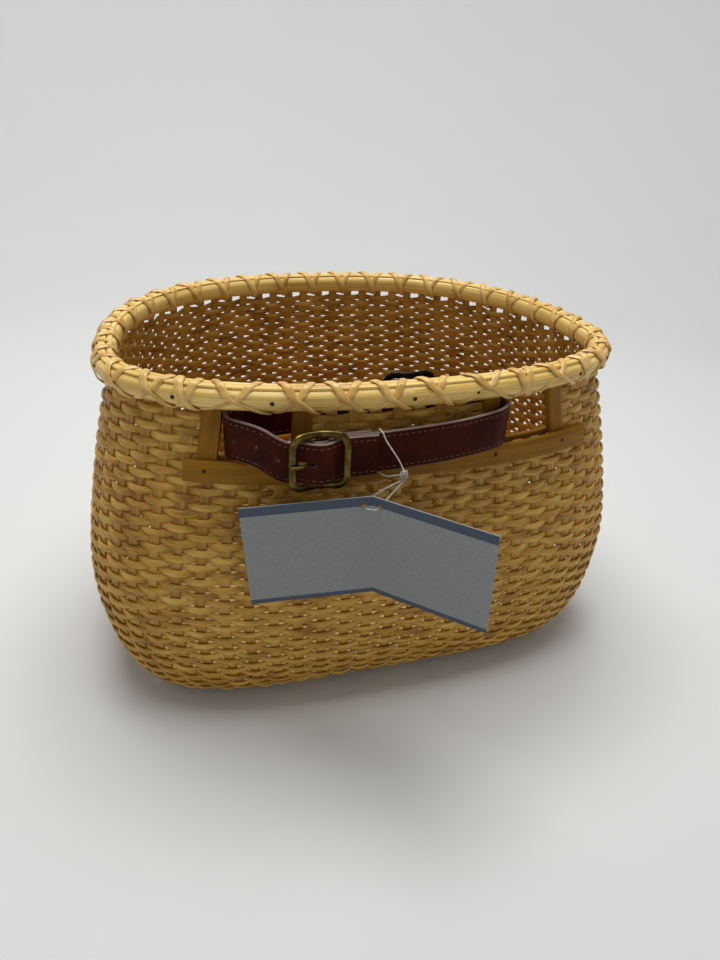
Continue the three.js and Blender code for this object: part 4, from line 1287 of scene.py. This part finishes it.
def addLeaf(name, node, body, leaf, front):
    form = newForm()
    size = Vector((tag["width"], tag["thickness"], tag["height"])) * mm
    middle = Vector((tag["gap"] + tag["width"] / 2, 0, -tag["height"] / 2)) * mm
    bmesh.ops.create_cube(form, size=1, matrix=Matrix.Translation(middle) @ Matrix.Diagonal((*size, 1)))
    upright = [edge for edge in form.edges if abs(edge.verts[0].co.y - edge.verts[1].co.y) > 1e-5]
    outer = [edge for edge in upright if edge.verts[0].co.x > middle.x]
    bmesh.ops.bevel(form, geom=outer, offset=tag["corner"] * mm, offset_type="OFFSET", affect="EDGES",
                    segments=4, profile=0.5, material=-1)
    spot = Matrix.Translation(Vector((tagPlace["holeIn"], 0, -tagPlace["holeDown"])) * mm)
    across = spot @ Matrix.Rotation(math.pi / 2, 4, "X")
    mesh = carve(meshFrom(form), [roundCutter(across, tag["holeRadius"], tag["holeDepth"], 0)], [card])
    form = bmesh.new()
    form.from_mesh(mesh)
    uvMap = form.loops.layers.uv.verify()
    for face in form.faces:
        inked = face.normal.y * front > 0.5
        for loop in face.loops:
            loop[uvMap].uv = ((1 if inked else -1) * loop.vert.co.x, loop.vert.co.z)
    bmesh.ops.transform(form, matrix=scaled(leaf), verts=form.verts)
    form.to_mesh(mesh)
    form.free()
    addPiece(name, mesh, body, [card], (node,), 30)
    form = newForm()
    wide, deep = tag["ringHalf"]
    out = tag["thickness"] / 2 + tag["ringLift"]
    for side in (1, -1):
        centre = Vector((tagPlace["holeIn"], side * out, -tagPlace["holeDown"]))
        ring = []
        for x, z in circle(20):
            outward = Vector((x, 0, z))
            ring.append([
                (leaf @ (centre + outward * (tag["ringRadius"] + wide * a) + Vector((0, deep * b, 0)))) * mm
                for a, b in circle(8)])
        drawThrough(form, ring, closed=True)
    addPiece(name + "_rings", form, body, [ringFinish], (), 60)


def addBead():
    material, tree, shader = newFinish(
        "clearBead", Base_Color=shade(248, 248, 246), IOR=1.46, Transmission_Weight=0.85)
    cloud = addNoise(tree, "Object", 500)
    tree.links.new(addRange(tree, cloud, 0.35, 0.65, 0.08, 0.22), shader.inputs["Roughness"])
    sections = [
        [(beadCentre + Vector((radius * x, radius * y, z))) * mm for x, y in circle(16)]
        for z, radius in tag["beadOutline"]]
    return addDrawn("lock_bead", sections, "tag", material, ("tag_bead",), 60)


card = cardFinish()
ringFinish = threadFinish("holeRing", tag["ring"])
addLeaf("tag_left", "tag_left_leaf", "tag", leftLeaf, 1)
addLeaf("tag_right", "tag_right_leaf", "tag_flap", rightLeaf, -1)
bead = addBead()
print("tag")

# base board keeps its solid, with a wood finish
board = {
    "tones": ((132, 92, 46), (180, 138, 82), (204, 166, 110)),
    "grain": (9, 160, 160),
}


def boardFinish():
    material, tree, shader = newFinish("boardWood")
    grain = addNoise(tree, "Object", board["grain"], 5, 0.6)
    tone = addMix(tree, grain, addNoise(tree, "Object", (6, 24, 24)), 0.5)
    dress(tree, shader, tone, (0.34, 0.5, 0.66), board["tones"], grain, (0.45, 0.65), (0.2, 0.0003))
    return material


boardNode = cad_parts["base_board"]
boardNode.data.materials.clear()
boardNode.data.materials.append(boardFinish())
print("board")

# studio: pale floor that turns up into a round backdrop, wide soft lamps overhead and even fill
studio = {
    "paper": shade(224, 225, 224),
    "under": 0.0003,  # the floor lies this far below the basket
    "flat": 1.0,
    "bend": 0.7,
    "height": 1.5,
    "lamps": (  # place, aim, size, power
        ((0.0, 0.15, 1.5), (0, 0, 0.1), 1.0, 17.5),
        ((0.0, 0.6, 1.7), (0, 1.5, 0.45), 0.8, 7.5),
    ),
    "sky": shade(255, 254, 252),
    "fill": 0.12,
}


def paperFinish():
    material, tree, shader = newFinish("paperFloor", Roughness=0.75)
    pale = studio["paper"]
    dark = tuple(part * 0.985 for part in pale[:3]) + (1,)
    colour = addRamp(tree, addNoise(tree, "Object", 3, 2), (0.3, 0.7), (dark, pale))
    tree.links.new(colour, shader.inputs["Base Color"])
    return material


def addStudio():
    form = bmesh.new()
    line = [(0, 0), (0.3, 0), (studio["flat"], 0)]
    for degrees in range(9, 91, 9):
        turn = math.radians(degrees)
        line.append((
            studio["flat"] + studio["bend"] * math.sin(turn), studio["bend"] * (1 - math.cos(turn))))
    line.append((studio["flat"] + studio["bend"], studio["height"]))
    knots = [form.verts.new((x, 0, z - studio["under"])) for x, z in line]
    edges = [form.edges.new(pair) for pair in zip(knots, knots[1:])]
    bmesh.ops.spin(
        form, geom=knots + edges, cent=(0, 0, 0), axis=(0, 0, 1), angle=2 * math.pi, steps=72,
        use_merge=True)
    bmesh.ops.remove_doubles(form, verts=form.verts, dist=1e-5)
    mesh = meshFrom(form)
    mesh.materials.append(paperFinish())
    mesh.shade_smooth()
    floor = newObject("floor", mesh)
    for index, (place, aim, size, power) in enumerate(studio["lamps"]):
        lamp = bpy.data.lights.new("softbox%d" % index, "AREA")
        lamp.shape = "SQUARE"
        lamp.size = size
        lamp.energy = power
        holder = newObject(lamp.name, lamp)
        holder.location = place
        holder.rotation_euler = (Vector(place) - Vector(aim)).to_track_quat("Z", "Y").to_euler()
    world = bpy.data.worlds.new("studio")
    world.use_nodes = True
    sky = world.node_tree.nodes["Background"]
    sky.inputs["Color"].default_value = studio["sky"]
    sky.inputs["Strength"].default_value = studio["fill"]
    scene.world = world


addStudio()
print("studio")
